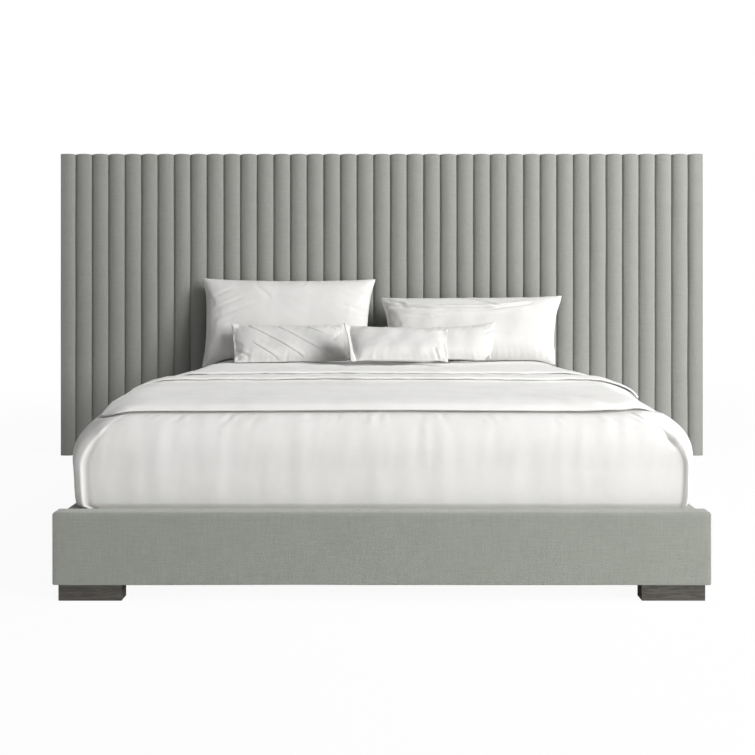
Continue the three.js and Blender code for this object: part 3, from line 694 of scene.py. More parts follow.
def dust_patch(x, z, left, right, bottom, top):
    """A grid of dust cloth, which sags a little away from its folded edge."""
    grid_x, grid_z = np.meshgrid(x, z)
    edge = np.minimum(grid_x - left, right - grid_x)
    edge = np.minimum(edge, np.minimum(grid_z - bottom, top - grid_z))
    sag = smooth(edge, 0.05, 0.16) * (0.0005 + 0.0003 * crumple(grid_x, grid_z, 0.35, 71))
    hem = 0.0006 * (1 - smooth(edge, 0.010, 0.014))
    y = BACK_Y + LIP_STAND + DUST_STAND - sag + hem
    return Patch(np.stack([grid_x, y, grid_z], -1), np.stack([grid_x, grid_z], -1))


def dust_cloth(key):
    """Black dust cloth over a panel's back: a grid with its edge folded under, left out round
    the join plates, and sagging a little into the open bays of the timber."""
    low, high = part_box(f"headboard_{key}_channels")
    left, right = low.x + CLOTH_INSET, high.x - CLOTH_INSET
    bottom, top = PANEL_LOW + CLOTH_INSET, PANEL_TOP - CLOTH_INSET
    near = plates_on(low, high)
    levels = sorted({round(edge, 5) for a, b in near for edge in (a.z - PLATE_GAP, b.z + PLATE_GAP)})
    bands = [bottom, *levels, top]
    rows = np.concatenate([spaced(a, b, DUST_STEP) for a, b in zip(bands[:-1], bands[1:])])
    rows = np.unique(np.round(rows, 6))
    inner_left = max([b.x + PLATE_GAP for a, b in near if a.x < low.x] + [left])
    inner_right = min([a.x - PLATE_GAP for a, b in near if b.x > high.x] + [right])
    between = list(zip(bands[::2], bands[1::2]))
    patches = []
    for start, end, spans in ((left, inner_left, between), (inner_left, inner_right, [(bottom, top)]),
                              (inner_right, right, between)):
        if end - start >= 0.001:
            x = spaced(start, end, DUST_STEP)[::-1]
            patches += [dust_patch(x, rows[(rows > a - 1e-5) & (rows < b + 1e-5)], left, right, bottom, top)
                        for a, b in spans]
    cloth = build(f"headboard_{key}_dust_cloth", patches, DUST_CLOTH, "frame", outward=False)
    thicken(cloth, 0.0006)


def staple(along, out):
    """A staple's crown: a small bar lying along one direction and standing out in another."""
    side = np.cross(along, out)
    across, height = 0.0006 * side, 0.0007 * np.asarray(out, float)
    ends = [np.asarray(along) * -STAPLE / 2, np.asarray(along) * STAPLE / 2]
    ring = [-across, -across + height, across + height, across, -across]
    rows = [[end + point for point in ring] for end in ends]
    caps = [[end + (ring[0] + ring[2]) / 2 for _ in ring] for end in ends]
    return np.array([caps[0], *rows, caps[1]])


def stapled(name, shapes):
    """One object of many staples or screws."""
    made = build(name, [Patch(shape) for shape in shapes], ZINC, "frame", sharp=40)


def panel_staples(key):
    """Staples along the dust cloth's folded edge."""
    low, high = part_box(f"headboard_{key}_channels")
    y = BACK_Y + LIP_STAND + 0.0018
    inset = CLOTH_INSET + 0.005
    near = plates_on(low, high)
    shapes = []
    for z in (PANEL_LOW + inset, PANEL_TOP - inset):
        places = [(x, y, z) for x in spaced(low.x + 0.05, high.x - 0.05, 0.07)]
        shapes += scattered(staple((1, 0, 0), (0, 1, 0)), places)
    for x, joined in ((low.x + inset, low.x), (high.x - inset, high.x)):
        plates = [(a.z, b.z) for a, b in near if a.x - 0.01 < joined < b.x + 0.01]
        places = [(x, y, z) for z in spaced(PANEL_LOW + 0.05, PANEL_TOP - 0.05, 0.07)
                  if all(z < a - 0.02 or z > b + 0.02 for a, b in plates)]
        shapes += scattered(staple((0, 0, 1), (0, 1, 0)), places)
    stapled(f"headboard_{key}_staples", shapes)


for panel in ("left", "centre", "right"):
    headboard_panel(panel)
    panel_back_lip(panel)
    dust_cloth(panel)
    panel_staples(panel)


# ---- footboard and side rails ------------------------------------------------------------

TOP_EDGE = 0.010
LOW_EDGE = 0.005
END_EDGE = 0.006
SIDE_END_EDGE = 0.003
UNDER_LIP = 0.024
INNER_LIP_LOW = 0.208


def carried(section, outward, insets, shares):
    """A section carried along a line: pulled in at each place by an inset, and shrunk to its
    foot by a share where an end closes. Gives one row of section points for each place."""
    foot = (section[0] + section[-1]) / 2
    rows = section[None] - outward[None] * insets[:, None, None]
    return foot + (rows - foot) * shares[:, None, None]


def rail_stations(low, high, round_, step):
    """Places along a rail: a closing end face, a rounded edge, the run, and the same again."""
    turn = np.linspace(0, math.pi / 2, 6)
    start = low + round_ * (1 - np.sin(turn[::-1]))
    insets = round_ * (1 - np.cos(turn[::-1]))
    run = spaced(low + round_, high - round_, step)[1:-1]
    caps = np.linspace(0.0, 0.86, 6)
    places = np.concatenate([np.full(6, low), start, run, (low + high - start)[::-1], np.full(6, high)])
    inset = np.concatenate([np.full(6, round_), insets, 0 * run, insets[::-1], np.full(6, round_)])
    share = np.concatenate([caps, np.ones(6), 1 + 0 * run, np.ones(6), caps[::-1]])
    return places, inset, share


def rail_skin(corners, radii, low, high, end_round, step, seed):
    """A rail's linen: a rounded section carried from end to end, with a little slack in its run.

    Gives its places along the rail, their shares, its section points and their lengths."""
    section, outward, length = rounded_path(corners, radii, 0.012)
    places, insets, shares = rail_stations(low, high, end_round, step)
    line = carried(section, outward, insets, shares)
    slack = 0.0009 * crumple(places[:, None], length[None, :], 0.45, seed) * (shares > 0.99)[:, None]
    return places, shares, line + outward[None] * np.minimum(slack, 0.0002)[..., None], length


def rail_cover(name, points, flat, node):
    """Builds a rail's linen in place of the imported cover."""
    cover = build(name, [Patch(points, flat)], RAIL_LINEN, "frame")
    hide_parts(node)


def footboard_cover():
    """The footboard's foam and linen: a rounded section from under the front edge over the top
    to under the back edge, carried from end to end and closed by rounded end faces."""
    low = RAIL_LOW - UNDER_STAND
    corners = [(FOOT_Y + UNDER_LIP, low), (FOOT_Y, low), (FOOT_Y, FOOT_TOP), (FOOT_BACK, FOOT_TOP),
               (FOOT_BACK, low), (FOOT_BACK - UNDER_LIP, low)]
    radii = [0, LOW_EDGE, TOP_EDGE, TOP_EDGE, LOW_EDGE, 0]
    places, shares, line, length = rail_skin(corners, radii, -WIDE, WIDE, END_EDGE, 0.016, 41)
    x = np.broadcast_to(places[:, None], line.shape[:2])
    points = np.stack([x, line[..., 0], line[..., 1]], -1)
    reach = places + np.where(shares < 1, np.sign(places) * (1 - shares) * 0.12, 0)
    flat = np.stack(np.broadcast_arrays(reach[:, None], length[None, :]), -1)
    rail_cover("footboard_upholstery", points, flat, "footboard_cover")


def side_rail_cover(key, sign):
    """A side rail's foam and linen: from a lip inside the bed over the top to under the outer
    edge."""
    low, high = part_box(f"side_rail_{key}_cover")
    inner, outer = sorted((abs(low.x), abs(high.x)))
    base = RAIL_LOW - UNDER_STAND
    corners = [(inner + 0.0004, INNER_LIP_LOW), (inner, high.z), (outer, high.z), (outer, base),
               (outer - UNDER_LIP, base)]
    radii = [0, TOP_EDGE, TOP_EDGE, LOW_EDGE, 0]
    places, _, line, length = rail_skin(corners, radii, low.y, high.y, SIDE_END_EDGE, 0.02, 43)
    y = np.broadcast_to(places[:, None], line.shape[:2])
    points = np.stack([sign * line[..., 0], y, line[..., 1]], -1)
    flat = np.stack(np.broadcast_arrays(places[:, None], length[None, :]), -1)
    rail_cover(f"side_rail_{key}_upholstery", points, flat, f"side_rail_{key}_cover")


footboard_cover()
side_rail_cover("left", -1)
side_rail_cover("right", 1)


# ---- fixings -----------------------------------------------------------------------------

def screw(radius, domed=True):
    """A cross-head screw's head, pointing up Z: a domed or flat disc with a pressed recess."""
    rise = 0.34 if domed else 0.06
    profile = [(0, -0.30, 0), (0.22, -0.28, 1), (0.34, rise * 0.96, 1), (0.42, rise, 0),
               (0.75, rise * 0.8, 0), (1.0, rise * 0.15, 0), (1.0, -0.25, 0)]
    scaled = [(r * radius, h * radius, lobe) for r, h, lobe in profile]
    return lathe(scaled[::-1], (0, 0, 0), (0, 0, 1), 16, 4, 0.7)


def facing(shape, out):
    """Turns a shape that points up Z to point along another axis."""
    side, up = frame_of(out)
    return shape[..., 0:1] * side + shape[..., 1:2] * up + shape[..., 2:3] * np.asarray(out, float)


FLAT_SCREW, DOMED_SCREW = screw(0.0046, False), screw(0.0050)
PLATE = 0.0041


def plate_screws(name, low, high):
    """A row of flat screws across a join plate."""
    middle = (low + high) / 2
    places = [(middle.x + x, high.y, middle.z) for x in (-0.049, -0.023, 0.023, 0.049)]
    return scattered(facing(FLAT_SCREW, (0, 1, 0)), places)


def saddle_screws(name, low, high):
    """Four domed screws in a beam saddle's plate, seen from inside the bed."""
    out = 1 if name.endswith("foot") else -1
    y = low.y + 0.0031 if out > 0 else high.y - 0.0031
    places = [(x, y, low.z + z) for x in (-0.042, 0.042) for z in (0.0195, 0.0585)]
    return scattered(facing(DOMED_SCREW, (0, out, 0)), places)


def leg_screws(name, low, high):
    """Two domed screws up through a centre leg's top plate."""
    middle = (low + high) / 2
    places = [(0, middle.y + y, high.z - PLATE) for y in (-0.037, 0.037)]
    return scattered(facing(DOMED_SCREW, (0, 0, -1)), places)


def slat_screws(name, low, high):
    """Two flat screws at each end of a slat."""
    middle = (low + high) / 2
    places = [(x, middle.y + y, high.z) for x in (-0.984, 0.984) for y in (-0.032, 0.032)]
    return scattered(FLAT_SCREW, places)


def bracket_screws(name, low, high):
    """Two domed screws in each wall of a corner bracket."""
    side = -1 if name.endswith("left") else 1
    end = -1 if "foot" in name else 1
    edge_x = low.x if side < 0 else high.x
    edge_y = low.y if end < 0 else high.y
    rises = (0.01675, 0.05025)
    on_side = [(edge_x - side * PLATE, edge_y - end * 0.039, low.z + z) for z in rises]
    on_end = [(edge_x - side * 0.039, edge_y - end * PLATE, low.z + z) for z in rises]
    return (scattered(facing(DOMED_SCREW, (-side, 0, 0)), on_side)
            + scattered(facing(DOMED_SCREW, (0, -end, 0)), on_end))


# The screws of each kind of part, by the start of its name.
SCREWS = {
    "join_plate": plate_screws,
    "beam_saddle": saddle_screws,
    "centre_leg": leg_screws,
    "slat": slat_screws,
    "bracket": bracket_screws,
}


def screws():
    """The screws that show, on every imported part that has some."""
    shapes = []
    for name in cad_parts:
        for start, shaped in SCREWS.items():
            if name.startswith(start):
                shapes += shaped(name, *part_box(name))
    stapled("screws", shapes)


def head_rail_bolts():
    """Two washered bolts through the head rail."""
    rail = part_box("head_rail")
    washer = [(0, 0.0016), (0.0125, 0.0016), (0.0125, 0), (0.0125, -0.0002)]
    hexagon = [(0, 0.0095), (0.0075, 0.0095), (0.0092, 0.0085), (0.0092, 0.0016)]
    bolts = []
    for x in (-0.620, 0.620):
        place = (x, rail[0].y, 0.150)
        bolts.append(lathe(washer, place, (0, -1, 0), 24))
        bolts.append(lathe(hexagon, place, (0, -1, 0), 6))
    stapled("head_rail_bolts", bolts)


def rail_staples():
    """Staples that hold the linen under the rails."""
    shapes = []
    z = RAIL_LOW - UNDER_STAND
    for y in (FOOT_Y + UNDER_LIP - 0.006, FOOT_BACK - UNDER_LIP + 0.006):
        places = [(x, y, z) for x in spaced(-0.80, 0.80, 0.06)]
        shapes += scattered(staple((1, 0, 0), (0, 0, -1)), places)
    for side in (-1, 1):
        x = side * (WIDE - UNDER_LIP + 0.006)
        places = [(x, y, z) for y in spaced(-0.88, 0.78, 0.06)]
        shapes += scattered(staple((0, 1, 0), (0, 0, -1)), places)
        x = side * (WIDE - 0.057 - 0.0002)
        places = [(x, y, 0.216) for y in spaced(-1.02, 0.96, 0.06)]
        shapes += scattered(staple((0, 1, 0), (-side, 0, 0)), places)
    stapled("rail_staples", shapes)


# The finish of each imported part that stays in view, by the start of its name.
PART_FINISHES = {
    "headboard_": PINE_UP,
    "footboard_core": PINE_ACROSS,
    "head_rail": PINE_ACROSS,
    "slat_": PINE_ACROSS,
    "centre_beam": PINE_ALONG,
    "side_rail_": PINE_ALONG,
    "foot_": ESPRESSO,
    "bracket_": BLACK_STEEL,
    "centre_leg_": BLACK_STEEL,
    "beam_saddle_": ZINC,
    "join_plate_": ZINC,
    "leveller_stem_": ZINC,
    "leveller_pad_": NYLON,
    "glide_": NYLON,
}


def finish_parts():
    """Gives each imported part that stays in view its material."""
    for name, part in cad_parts.items():
        for start, material in PART_FINISHES.items():
            if name.startswith(start):
                for slot in part.material_slots:
                    slot.material = material


screws()
head_rail_bolts()
rail_staples()
finish_parts()


# ---- mattress ----------------------------------------------------------------------------

MATTRESS_CORNER = 0.060
MATTRESS_EDGE = 0.018
BORDER_ROWS = 13
QUILT = 0.165
RIB = 0.06
PIPING = 0.0045


def around_box(half_x, half_y, corner, step):
    """A rounded rectangle's outline as closed points with outward directions."""
    turn = np.linspace(0, math.pi / 2, 9)
    line, out = [], []
    for index, (sx, sy) in enumerate(((1, 1), (-1, 1), (-1, -1), (1, -1))):
        angle = turn + index * math.pi / 2
        way = np.stack([np.cos(angle), np.sin(angle)], -1)
        arc = np.array([sx * (half_x - corner), sy * (half_y - corner)]) + corner * way
        line.append(arc)
        out.append(way)
        nxt = ((-1, 1), (-1, -1), (1, -1), (1, 1))[index]
        end = np.array([nxt[0] * (half_x - corner), nxt[1] * (half_y - corner)]) + corner * way[-1]
        share = spaced(0, 1, step / np.linalg.norm(end - arc[-1]))[1:-1, None]
        line.append(arc[-1] * (1 - share) + end * share)
        out.append(np.repeat(way[-1:], len(share), axis=0))
    line, out = np.concatenate(line), np.concatenate(out)
    return np.concatenate([line, line[:1]]), np.concatenate([out, out[:1]])


def mattress_rings(low, high):
    """The rings from the middle of the bottom round to the middle of the top: how far each is
    pulled in at the rounded edge, its share of the outline, and its level."""
    flat = np.linspace(0.0, 0.985, 40)
    turn = np.linspace(0, math.pi / 2, 5)[1:]
    held = np.full(len(flat), MATTRESS_EDGE)
    bottom_turn, top_turn = MATTRESS_EDGE * (1 - np.sin(turn)), MATTRESS_EDGE * (1 - np.sin(turn[::-1]))
    inset = np.concatenate([held, bottom_turn, np.zeros(BORDER_ROWS), top_turn, held])
    share = np.concatenate([flat, np.ones(len(turn) * 2 + BORDER_ROWS), flat[::-1]])
    border = spaced(low.z + MATTRESS_EDGE, high.z - MATTRESS_EDGE,
                    (high.z - low.z - 2 * MATTRESS_EDGE) / (BORDER_ROWS + 1))[1:-1]
    level = np.concatenate([0 * flat + low.z, low.z + MATTRESS_EDGE * (1 - np.cos(turn)), border,
                            high.z - MATTRESS_EDGE * (1 - np.cos(turn[::-1])), 0 * flat + high.z])
    return inset, share, level


def mattress_body(low, high, line, out):
    """The quilted bottom and top, and the ribbed border between two bound edges."""
    around = np.concatenate([[0], np.cumsum(np.linalg.norm(np.diff(line, axis=0), axis=1))])
    inset, share, level = mattress_rings(low, high)
    plane = (line[None] - out[None] * inset[:, None, None]) * share[:, None, None]
    ribs = 0.0018 * np.abs(np.sin(around / RIB * math.pi))[None, :]
    ribs = ribs * bump(level, (low.z + high.z) / 2, 0.12)[:, None]
    plane = plane + out[None] * ribs[..., None] * (share > 0.99)[:, None, None]
    diagonal = np.abs(np.sin((plane[..., 0] + plane[..., 1]) / QUILT * math.pi))
    other = np.abs(np.sin((plane[..., 0] - plane[..., 1]) / QUILT * math.pi))
    puff = 0.006 * np.minimum(diagonal, other) ** 0.7 * (share < 0.96)[:, None]
    top = (np.arange(len(level)) > len(level) / 2)[:, None]
    z = level[:, None] + np.where(top, -0.006 + puff, 0.004 - 0.6 * puff) * (share < 0.99)[:, None]
    points = np.stack([plane[..., 0], plane[..., 1] + (low.y + high.y) / 2, z], -1)
    up = np.cumsum(np.concatenate([[0], np.linalg.norm(np.diff(points[:, 0], axis=0), axis=1)]))
    flat = np.stack(np.broadcast_arrays(around[None, :], up[:, None]), -1)
    flat = np.where((share < 0.99)[:, None, None], plane + [4.0, 0.0], flat)
    body = build("mattress_body", [Patch(points, flat)], TICKING, "mattress_set")
    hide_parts("mattress")


def mattress_piping(low, high, line, out):
    """A bound cord round the mattress at its bottom and top edges."""
    piping = []
    for height in (low.z + MATTRESS_EDGE * 0.9, high.z - MATTRESS_EDGE * 0.9):
        cord = np.column_stack([line + out * -0.0005, np.full(len(line), height)])
        cord[:, 1] += (low.y + high.y) / 2
        piping.append(Patch(tube(cord, PIPING, 8)))
    bound = build("mattress_piping", piping, BINDING, "mattress_set")


def mattress_handles(low, high):
    """Two webbing handles on each long side, which stand off between their sewn ends."""
    handles = []
    for side in (-1, 1):
        for place in (-0.55, 0.55):
            along = spaced(-0.11, 0.11, 0.01)
            rise = 0.0015 + 0.010 * np.clip(1 - (along / 0.09) ** 4, 0, 1)
            width = np.array([-0.016, 0, 0.016])
            grid_y, grid_z = np.meshgrid(place + along, (low.z + high.z) / 2 + width, indexing="ij")
            grid_x = side * (high.x - 0.0015 + np.clip(rise, 0, 0.006))[:, None] + 0 * grid_y
            grid = np.stack([grid_x, grid_y, grid_z], -1)
            handles.append(Patch(grid[:, ::side]))
    strap = build("mattress_handles", handles, BINDING, "mattress_set", outward=False)
    thicken(strap, 0.0015)


def mattress():
    """The mattress with its piping and handles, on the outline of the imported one."""
    low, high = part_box("mattress")
    half_x, half_y = high.x - 0.004, (high.y - low.y) / 2 - 0.004
    line, out = around_box(half_x, half_y, MATTRESS_CORNER, 0.02)
    mattress_body(low, high, line, out)
    mattress_piping(low, high, line, out)
    mattress_handles(low, high)


mattress()


# ---- coverlet and blanket ----------------------------------------------------------------

HEM_Z = 0.216
TUCK_X, TUCK_Y = 0.988, 1.054
TUCK_TOP = 0.283
BULGE_X, BULGE_Y, BULGE_Z = 1.014, 1.060, 0.425
WIDER = 0.013
RIGHT_WIDER = 0.006
BED_TOP = 0.610
RUN = 0.19
INNER = 0.69
HEAD_END = 1.0
CORNER = 0.028
TOP_CORNER = 0.15


class Bedding:
    """The made bed's outer form.

    A column of it is a place on the outline, seen from above: the left side from the head end,
    a rounded corner, the foot, the other corner and the right side. A row is a level: 0 at the
    hem, 1 where the rails let go, 2 at the widest, 3 at the end of the shoulder, 4 well inside
    the top. The outline at each level is a rectangle with round corners, and its reach and
    height follow a superellipse over the shoulder."""

    def __init__(self, back, corner, foot):
        turn = np.linspace(0, math.pi / 2, corner + 1)[1:-1]
        side = np.ones(len(back) + 1 + len(turn))
        self.across = np.concatenate([-side, foot, side])
        self.back = np.concatenate([back, [0], 0 * turn, 0 * foot, 0 * turn, [0], back[::-1]])
        start = math.pi + np.concatenate([0 * back, [0], turn])
        end = 1.5 * math.pi + np.concatenate([turn, [math.pi / 2], math.pi / 2 + 0 * back])
        self.heading = np.concatenate([start, np.full(len(foot), 1.5 * math.pi), end])
        self.foot_share = smooth(np.abs(np.sin(self.heading)), 0.15, 0.9)

    @staticmethod
    def shoulder(level, along, foot_share):
        """Shares of a superellipse's reach and rise, rounder at the foot than half way up."""
        turn = np.clip(level - 2, 0, 1) * math.pi / 2
        squareness = 2.5 + 1.2 * bump(along, -0.42, 0.42) * (1 - foot_share)
        return np.cos(turn) ** (2 / squareness), np.sin(turn) ** (2 / squareness)

    @staticmethod
    def reach(level, out, tuck, widest, grow):
        """How far out a level stands: quickly out over the rails, then in over the shoulder."""
        swell = np.sin(np.clip(level - 1, 0, 1) * math.pi / 2) ** 0.16
        inside = np.clip(level - 3, 0, 1)
        low = tuck + (widest - tuck) * swell
        high = widest - RUN * (1 - out) - (widest - RUN - INNER) * inside
        return np.where(level < 2, low, high) + grow * np.clip(out, 0, 1)

    def at(self, level, grow=0.0):
        """The points at a level for each column; level may be a number, a row or a whole grid."""
        level = np.broadcast_to(level, (np.shape(level)[0], len(self.across)))
        along = np.where(self.back > 0, self.back * (HEAD_END + 1.0) - 1.0, -1.0)
        out, up = self.shoulder(level, along, self.foot_share)
        inside = np.clip(level - 3, 0, 1)
        radius = CORNER + (TOP_CORNER - CORNER) * (1 - out) ** 0.55 * (1 - inside) - CORNER * inside
        radius = np.where(level < 2, CORNER, radius)
        forward = RIGHT_WIDER * (self.across > 0) * (1 - smooth(along, -0.9, -0.5))
        widest = BULGE_X + WIDER * smooth(along, -0.98, -0.75) + forward
        wide = self.reach(level, out, TUCK_X, widest, grow)
        long = self.reach(level, out, TUCK_Y, BULGE_Y, grow)
        core_x, core_y = wide - radius, long - radius
        x = self.across * core_x + radius * np.cos(self.heading)
        y = -core_y + self.back * (HEAD_END + core_y) + radius * np.sin(self.heading)
        low = HEM_Z + (TUCK_TOP - HEM_Z) * np.clip(level, 0, 1)
        middle = TUCK_TOP + (BULGE_Z - TUCK_TOP) * np.clip(level - 1, 0, 1)
        high = BULGE_Z + (BED_TOP + grow + self.sinking(x, y) - BULGE_Z) * up
        z = np.where(level < 1, low, np.where(level < 2, middle, high))
        return np.stack([x, y, z], -1)

    @classmethod
    def strip(cls, y, hem, step, grow):
        """A strip of the form straight across the bed: one row for each place y along it, from
        the left hem level over the top to the right."""
        level = np.linspace(hem, 3, 22)[None, :] + 0 * y[:, None]
        level = np.concatenate([level, np.broadcast_to(np.linspace(3, 4, 8)[1:], (len(y), 7))], axis=1)
        along = y[:, None] + 0 * level
        out, up = cls.shoulder(level, along, 0.0)
        x = cls.reach(level, out, TUCK_X, BULGE_X + WIDER * smooth(along, -0.98, -0.75), grow)
        z = BULGE_Z + (BED_TOP + grow + cls.sinking(x, along) - BULGE_Z) * up
        middle = spaced(-INNER, INNER, step)[1:-1][None, :] + 0 * y[:, None]
        flat = BED_TOP + grow + cls.sinking(middle, y[:, None])
        x = np.concatenate([-x, middle, x[:, ::-1]], axis=1)
        z = np.concatenate([z, flat, z[:, ::-1]], axis=1)
        return np.stack([x, y[:, None] + 0 * x, z], -1)

    @staticmethod
    def sinking(x, y):
        """How far the top stands above or below its plain level: plump mid-bed, pressed at the
        head, and falling away at the two corners of the foot, more so on the right."""
        outer = smooth(np.abs(x), 0.84, 1.0)
        plump = 0.008 * bump(y, -0.45, 0.4) + 0.004 * bump(x, 0, 0.5) * (1 - smooth(y, 0, 0.6))
        pressed_down = 0.032 * smooth(y, -0.66, 0.0) + 0.014 * smooth(y, 0.2, 0.75)
        pressed_down = pressed_down + 0.006 * outer * smooth(y, -0.5, 0.2)
        left = (x < 0) * 0.026 * smooth(-y, 0.74, 0.97)
        right = (x > 0) * (0.024 * smooth(-y, 0.35, 0.70) + 0.030 * bump(y, -0.74, 0.15))
        return plump - pressed_down - outer * (0.008 + left + right)

    def lengths(self, points):
        """Cloth coordinates along the outline at its widest and up from the hem, in metres."""
        widest = self.at(np.array([[2.0]]))[0]
        around = np.concatenate([[0], np.cumsum(np.linalg.norm(np.diff(widest, axis=0), axis=1))])
        rise = np.linalg.norm(np.diff(points, axis=0), axis=2)
        up = np.concatenate([np.zeros((1, points.shape[1])), np.cumsum(rise, axis=0)])
        return around - around[-1] / 2, up


def bedding_columns(step):
    """Column places, closer together near the corners where the cloth is folded."""
    core = BULGE_X - CORNER
    edge = spaced(0.90, core, 0.0036)[:-1] / core
    middle = spaced(-0.90, 0.90, step) / core
    foot = np.concatenate([-edge[::-1], middle[1:-1], edge])
    side = 1 - np.concatenate([spaced(0, 1.86, step * 2), spaced(1.86, 2.015, 0.006)[1:-1]]) / 2.015
    return Bedding(side, 10, foot)


# Folds hanging on the foot face: place across, width, depth, lean (sideways per metre down),
# and the heights where each starts and fades.
FOOT_FOLDS = [
    (-0.735, 0.030, 0.0050, 0.00, 0.56, 0.36),
    (-0.795, 0.018, 0.0030, 0.02, 0.47, 0.30),
    (-0.515, 0.026, 0.0050, 0.10, 0.56, 0.33),
    (-0.425, 0.022, 0.0040, 0.00, 0.53, 0.27),
    (-0.250, 0.034, 0.0040, 0.02, 0.50, 0.28),
    (-0.130, 0.024, 0.0045, 0.16, 0.50, 0.30),
    (-0.020, 0.030, 0.0040, 0.00, 0.55, 0.30),
    (0.022, 0.010, 0.0035, 0.00, 0.55, 0.40),
    (0.145, 0.012, 0.0060, 0.00, 0.585, 0.42),
    (0.205, 0.028, 0.0035, 0.00, 0.55, 0.30),
    (0.330, 0.040, 0.0035, 0.00, 0.55, 0.25),
    (0.430, 0.030, 0.0025, 0.02, 0.50, 0.28),
    (0.585, 0.022, 0.0045, -0.05, 0.52, 0.30),
    (0.655, 0.018, 0.0035, 0.00, 0.55, 0.35),
    (0.800, 0.035, 0.0035, 0.02, 0.55, 0.25),
]


def foot_folds(x, z, face):
    """How far the foot face stands out: soft hanging ridges, slanting gathers in the puff under
    the blanket's hem."""
    out = 0.0006 * waver(x + 0.05 * (z - 0.4), 0.130, 3) * smooth(z, 0.24, 0.36)
    out = out + 0.0004 * crumple(x - 0.08 * (z - 0.4), 0.25 * z, 0.040, 4) * smooth(z, 0.30, 0.5)
    for place, width, depth, lean, top, bottom in FOOT_FOLDS:
        span = smooth(z, bottom - 0.06, bottom + 0.04) * (1 - smooth(z, top - 0.03, top + 0.02))
        out = out + 0.22 * depth * bump(x, place - lean * (top - z), width) * span
    pull = x + np.sign(x) * (z - 0.55) * (0.5 + 1.8 * smooth(np.abs(x), 0.2, 0.9))
    strong = np.clip(0.5 + 0.7 * waver(x, 0.13, 8), 0.0, 1.4)
    gather = (waver(pull, 0.036, 7) + 0.7 * crumple(pull, z, 0.030, 9)) * strong
    out = out + 0.0016 * gather * smooth(z, 0.525, 0.575) * (1 - smooth(z, 0.602, 0.614))
    return out * face


def corner_folds(around, z, side):
    """The folded corners of the foot: on the left a rolled vertical strip with a hollow beside
    it, on the right a narrow flat pleat that hangs from a small pinched cup."""
    drop = smooth(z, 0.22, 0.28) * (1 - smooth(z, 0.475, 0.525))
    sway = 0.002 * waver(z + 0.3 * side, 0.22, 17)
    left = np.abs(around) - 0.986 - sway
    rolled = 0.0045 * bump(left, 0.0, 0.0045) - 0.0022 * bump(left, -0.016, 0.010)
    tuft = 0.005 * bump(left, -0.004, 0.008) * bump(z, 0.528, 0.012)
    right = np.abs(around) - 0.992 - sway
    pleat = 0.010 * smooth(right, -0.010, 0.004) * (1 - smooth(right, 0.004, 0.008))
    cup = -0.013 * bump(right, -0.013 + (z - 0.505) * 0.3, 0.009) * bump(z, 0.505, 0.017)
    rim = 0.007 * bump(right, -0.002, 0.007) * bump(z, 0.520, 0.018)
    return np.where(side < 0, rolled * drop + tuft, pleat * drop + cup + rim)


def side_folds(around, z):
    """Soft hanging folds down the long sides."""
    out = 0.0035 * waver(around, 0.16, 21) + 0.002 * waver(around + 0.1 * z, 0.06, 22)
    pull = around + (z - 0.5) * 0.5
    out = out + 0.0022 * waver(pull, 0.035, 23) * smooth(z, 0.45, 0.52)
    return out * smooth(z, 0.25, 0.36)


def blanket_hem(around):
    """The level at which the blanket ends: well up on the foot's shoulder and past its corners,
    then lower and lower along the sides."""
    turn = 1 - smooth(np.abs(around), 1.16, 1.75)
    level = 2.30 + 0.30 * turn - 0.10 * bump(around, -1.16, 0.12) + 0.12 * bump(around, 1.14, 0.16)
    level = level + 0.006 * waver(around, 0.5, 58) * (1 - 0.7 * turn)
    return level + 0.02 * (1 - turn) * waver(around, 0.35, 59)


def form_normals(form, points, levels):
    """Unit normals of the bedding form, upwards on its top and away from the bed at its sides."""
    normal = normals_of(points)
    normal *= np.where(normal[..., 2:] < 0, -1.0, 1.0)
    outward = np.stack([np.cos(form.heading), np.sin(form.heading), 0 * form.heading], -1)
    inwards = (normal * outward).sum(-1) < 0
    return np.where(inwards[..., None] & (levels < 2.9)[..., None], -normal, normal)


def coverlet_relief(form, points, levels, around):
    """How far the coverlet stands out from the form: the folds of its foot, sides and corners,
    and a puff below the blanket's hem. Under the blanket it lies flat."""
    x, z = points[..., 0], points[..., 2]
    face = form.foot_share[None, :] * (1 - smooth(np.abs(x), 0.93, 0.98))
    sides = (1 - form.foot_share)[None, :] * smooth(form.back, 0.02, 0.08)[None, :]
    out = foot_folds(x, z, face) + side_folds(around[None, :], z) * sides
    out = out + corner_folds(around[None, :], z, np.sign(x)) * (1 - smooth(form.back, 0.03, 0.08))
    below = form.at(blanket_hem(around)[None, :])[:, :, 2] - z
    puff = 0.013 + 0.006 * bump(around, 1.12, 0.2)[None, :]
    puff = puff * smooth(below, 0.002, 0.011) * (1 - smooth(below, 0.012, 0.19))
    out = out * smooth(below, -0.004, 0.010) + puff
    return out * (1 - smooth(levels, 2.85, 3.1))


def coverlet():
    """The white coverlet: the bedding form with its folds, and a plain sheet across the top."""
    form = bedding_columns(0.0120)
    levels = np.concatenate([np.linspace(0, 1, 5)[:-1], np.linspace(1, 2, 17)[:-1],
                             np.linspace(2, 3, 33)[:-1], np.linspace(3, 4, 8)])[:, None]
    points = form.at(levels)
    around, up = form.lengths(points)
    relief = coverlet_relief(form, points, levels, around)
    points = points + form_normals(form, points, levels) * relief[..., None]
    flat = np.stack([np.broadcast_to(around, up.shape), up], -1)
    patches = [Patch(points, flat), top_sheet(form, points[-1])]
    cover = build("coverlet_cloth", patches, COTTON, "mattress_set", weld=1e-4)
    thicken(cover, 0.003)
    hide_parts("coverlet")


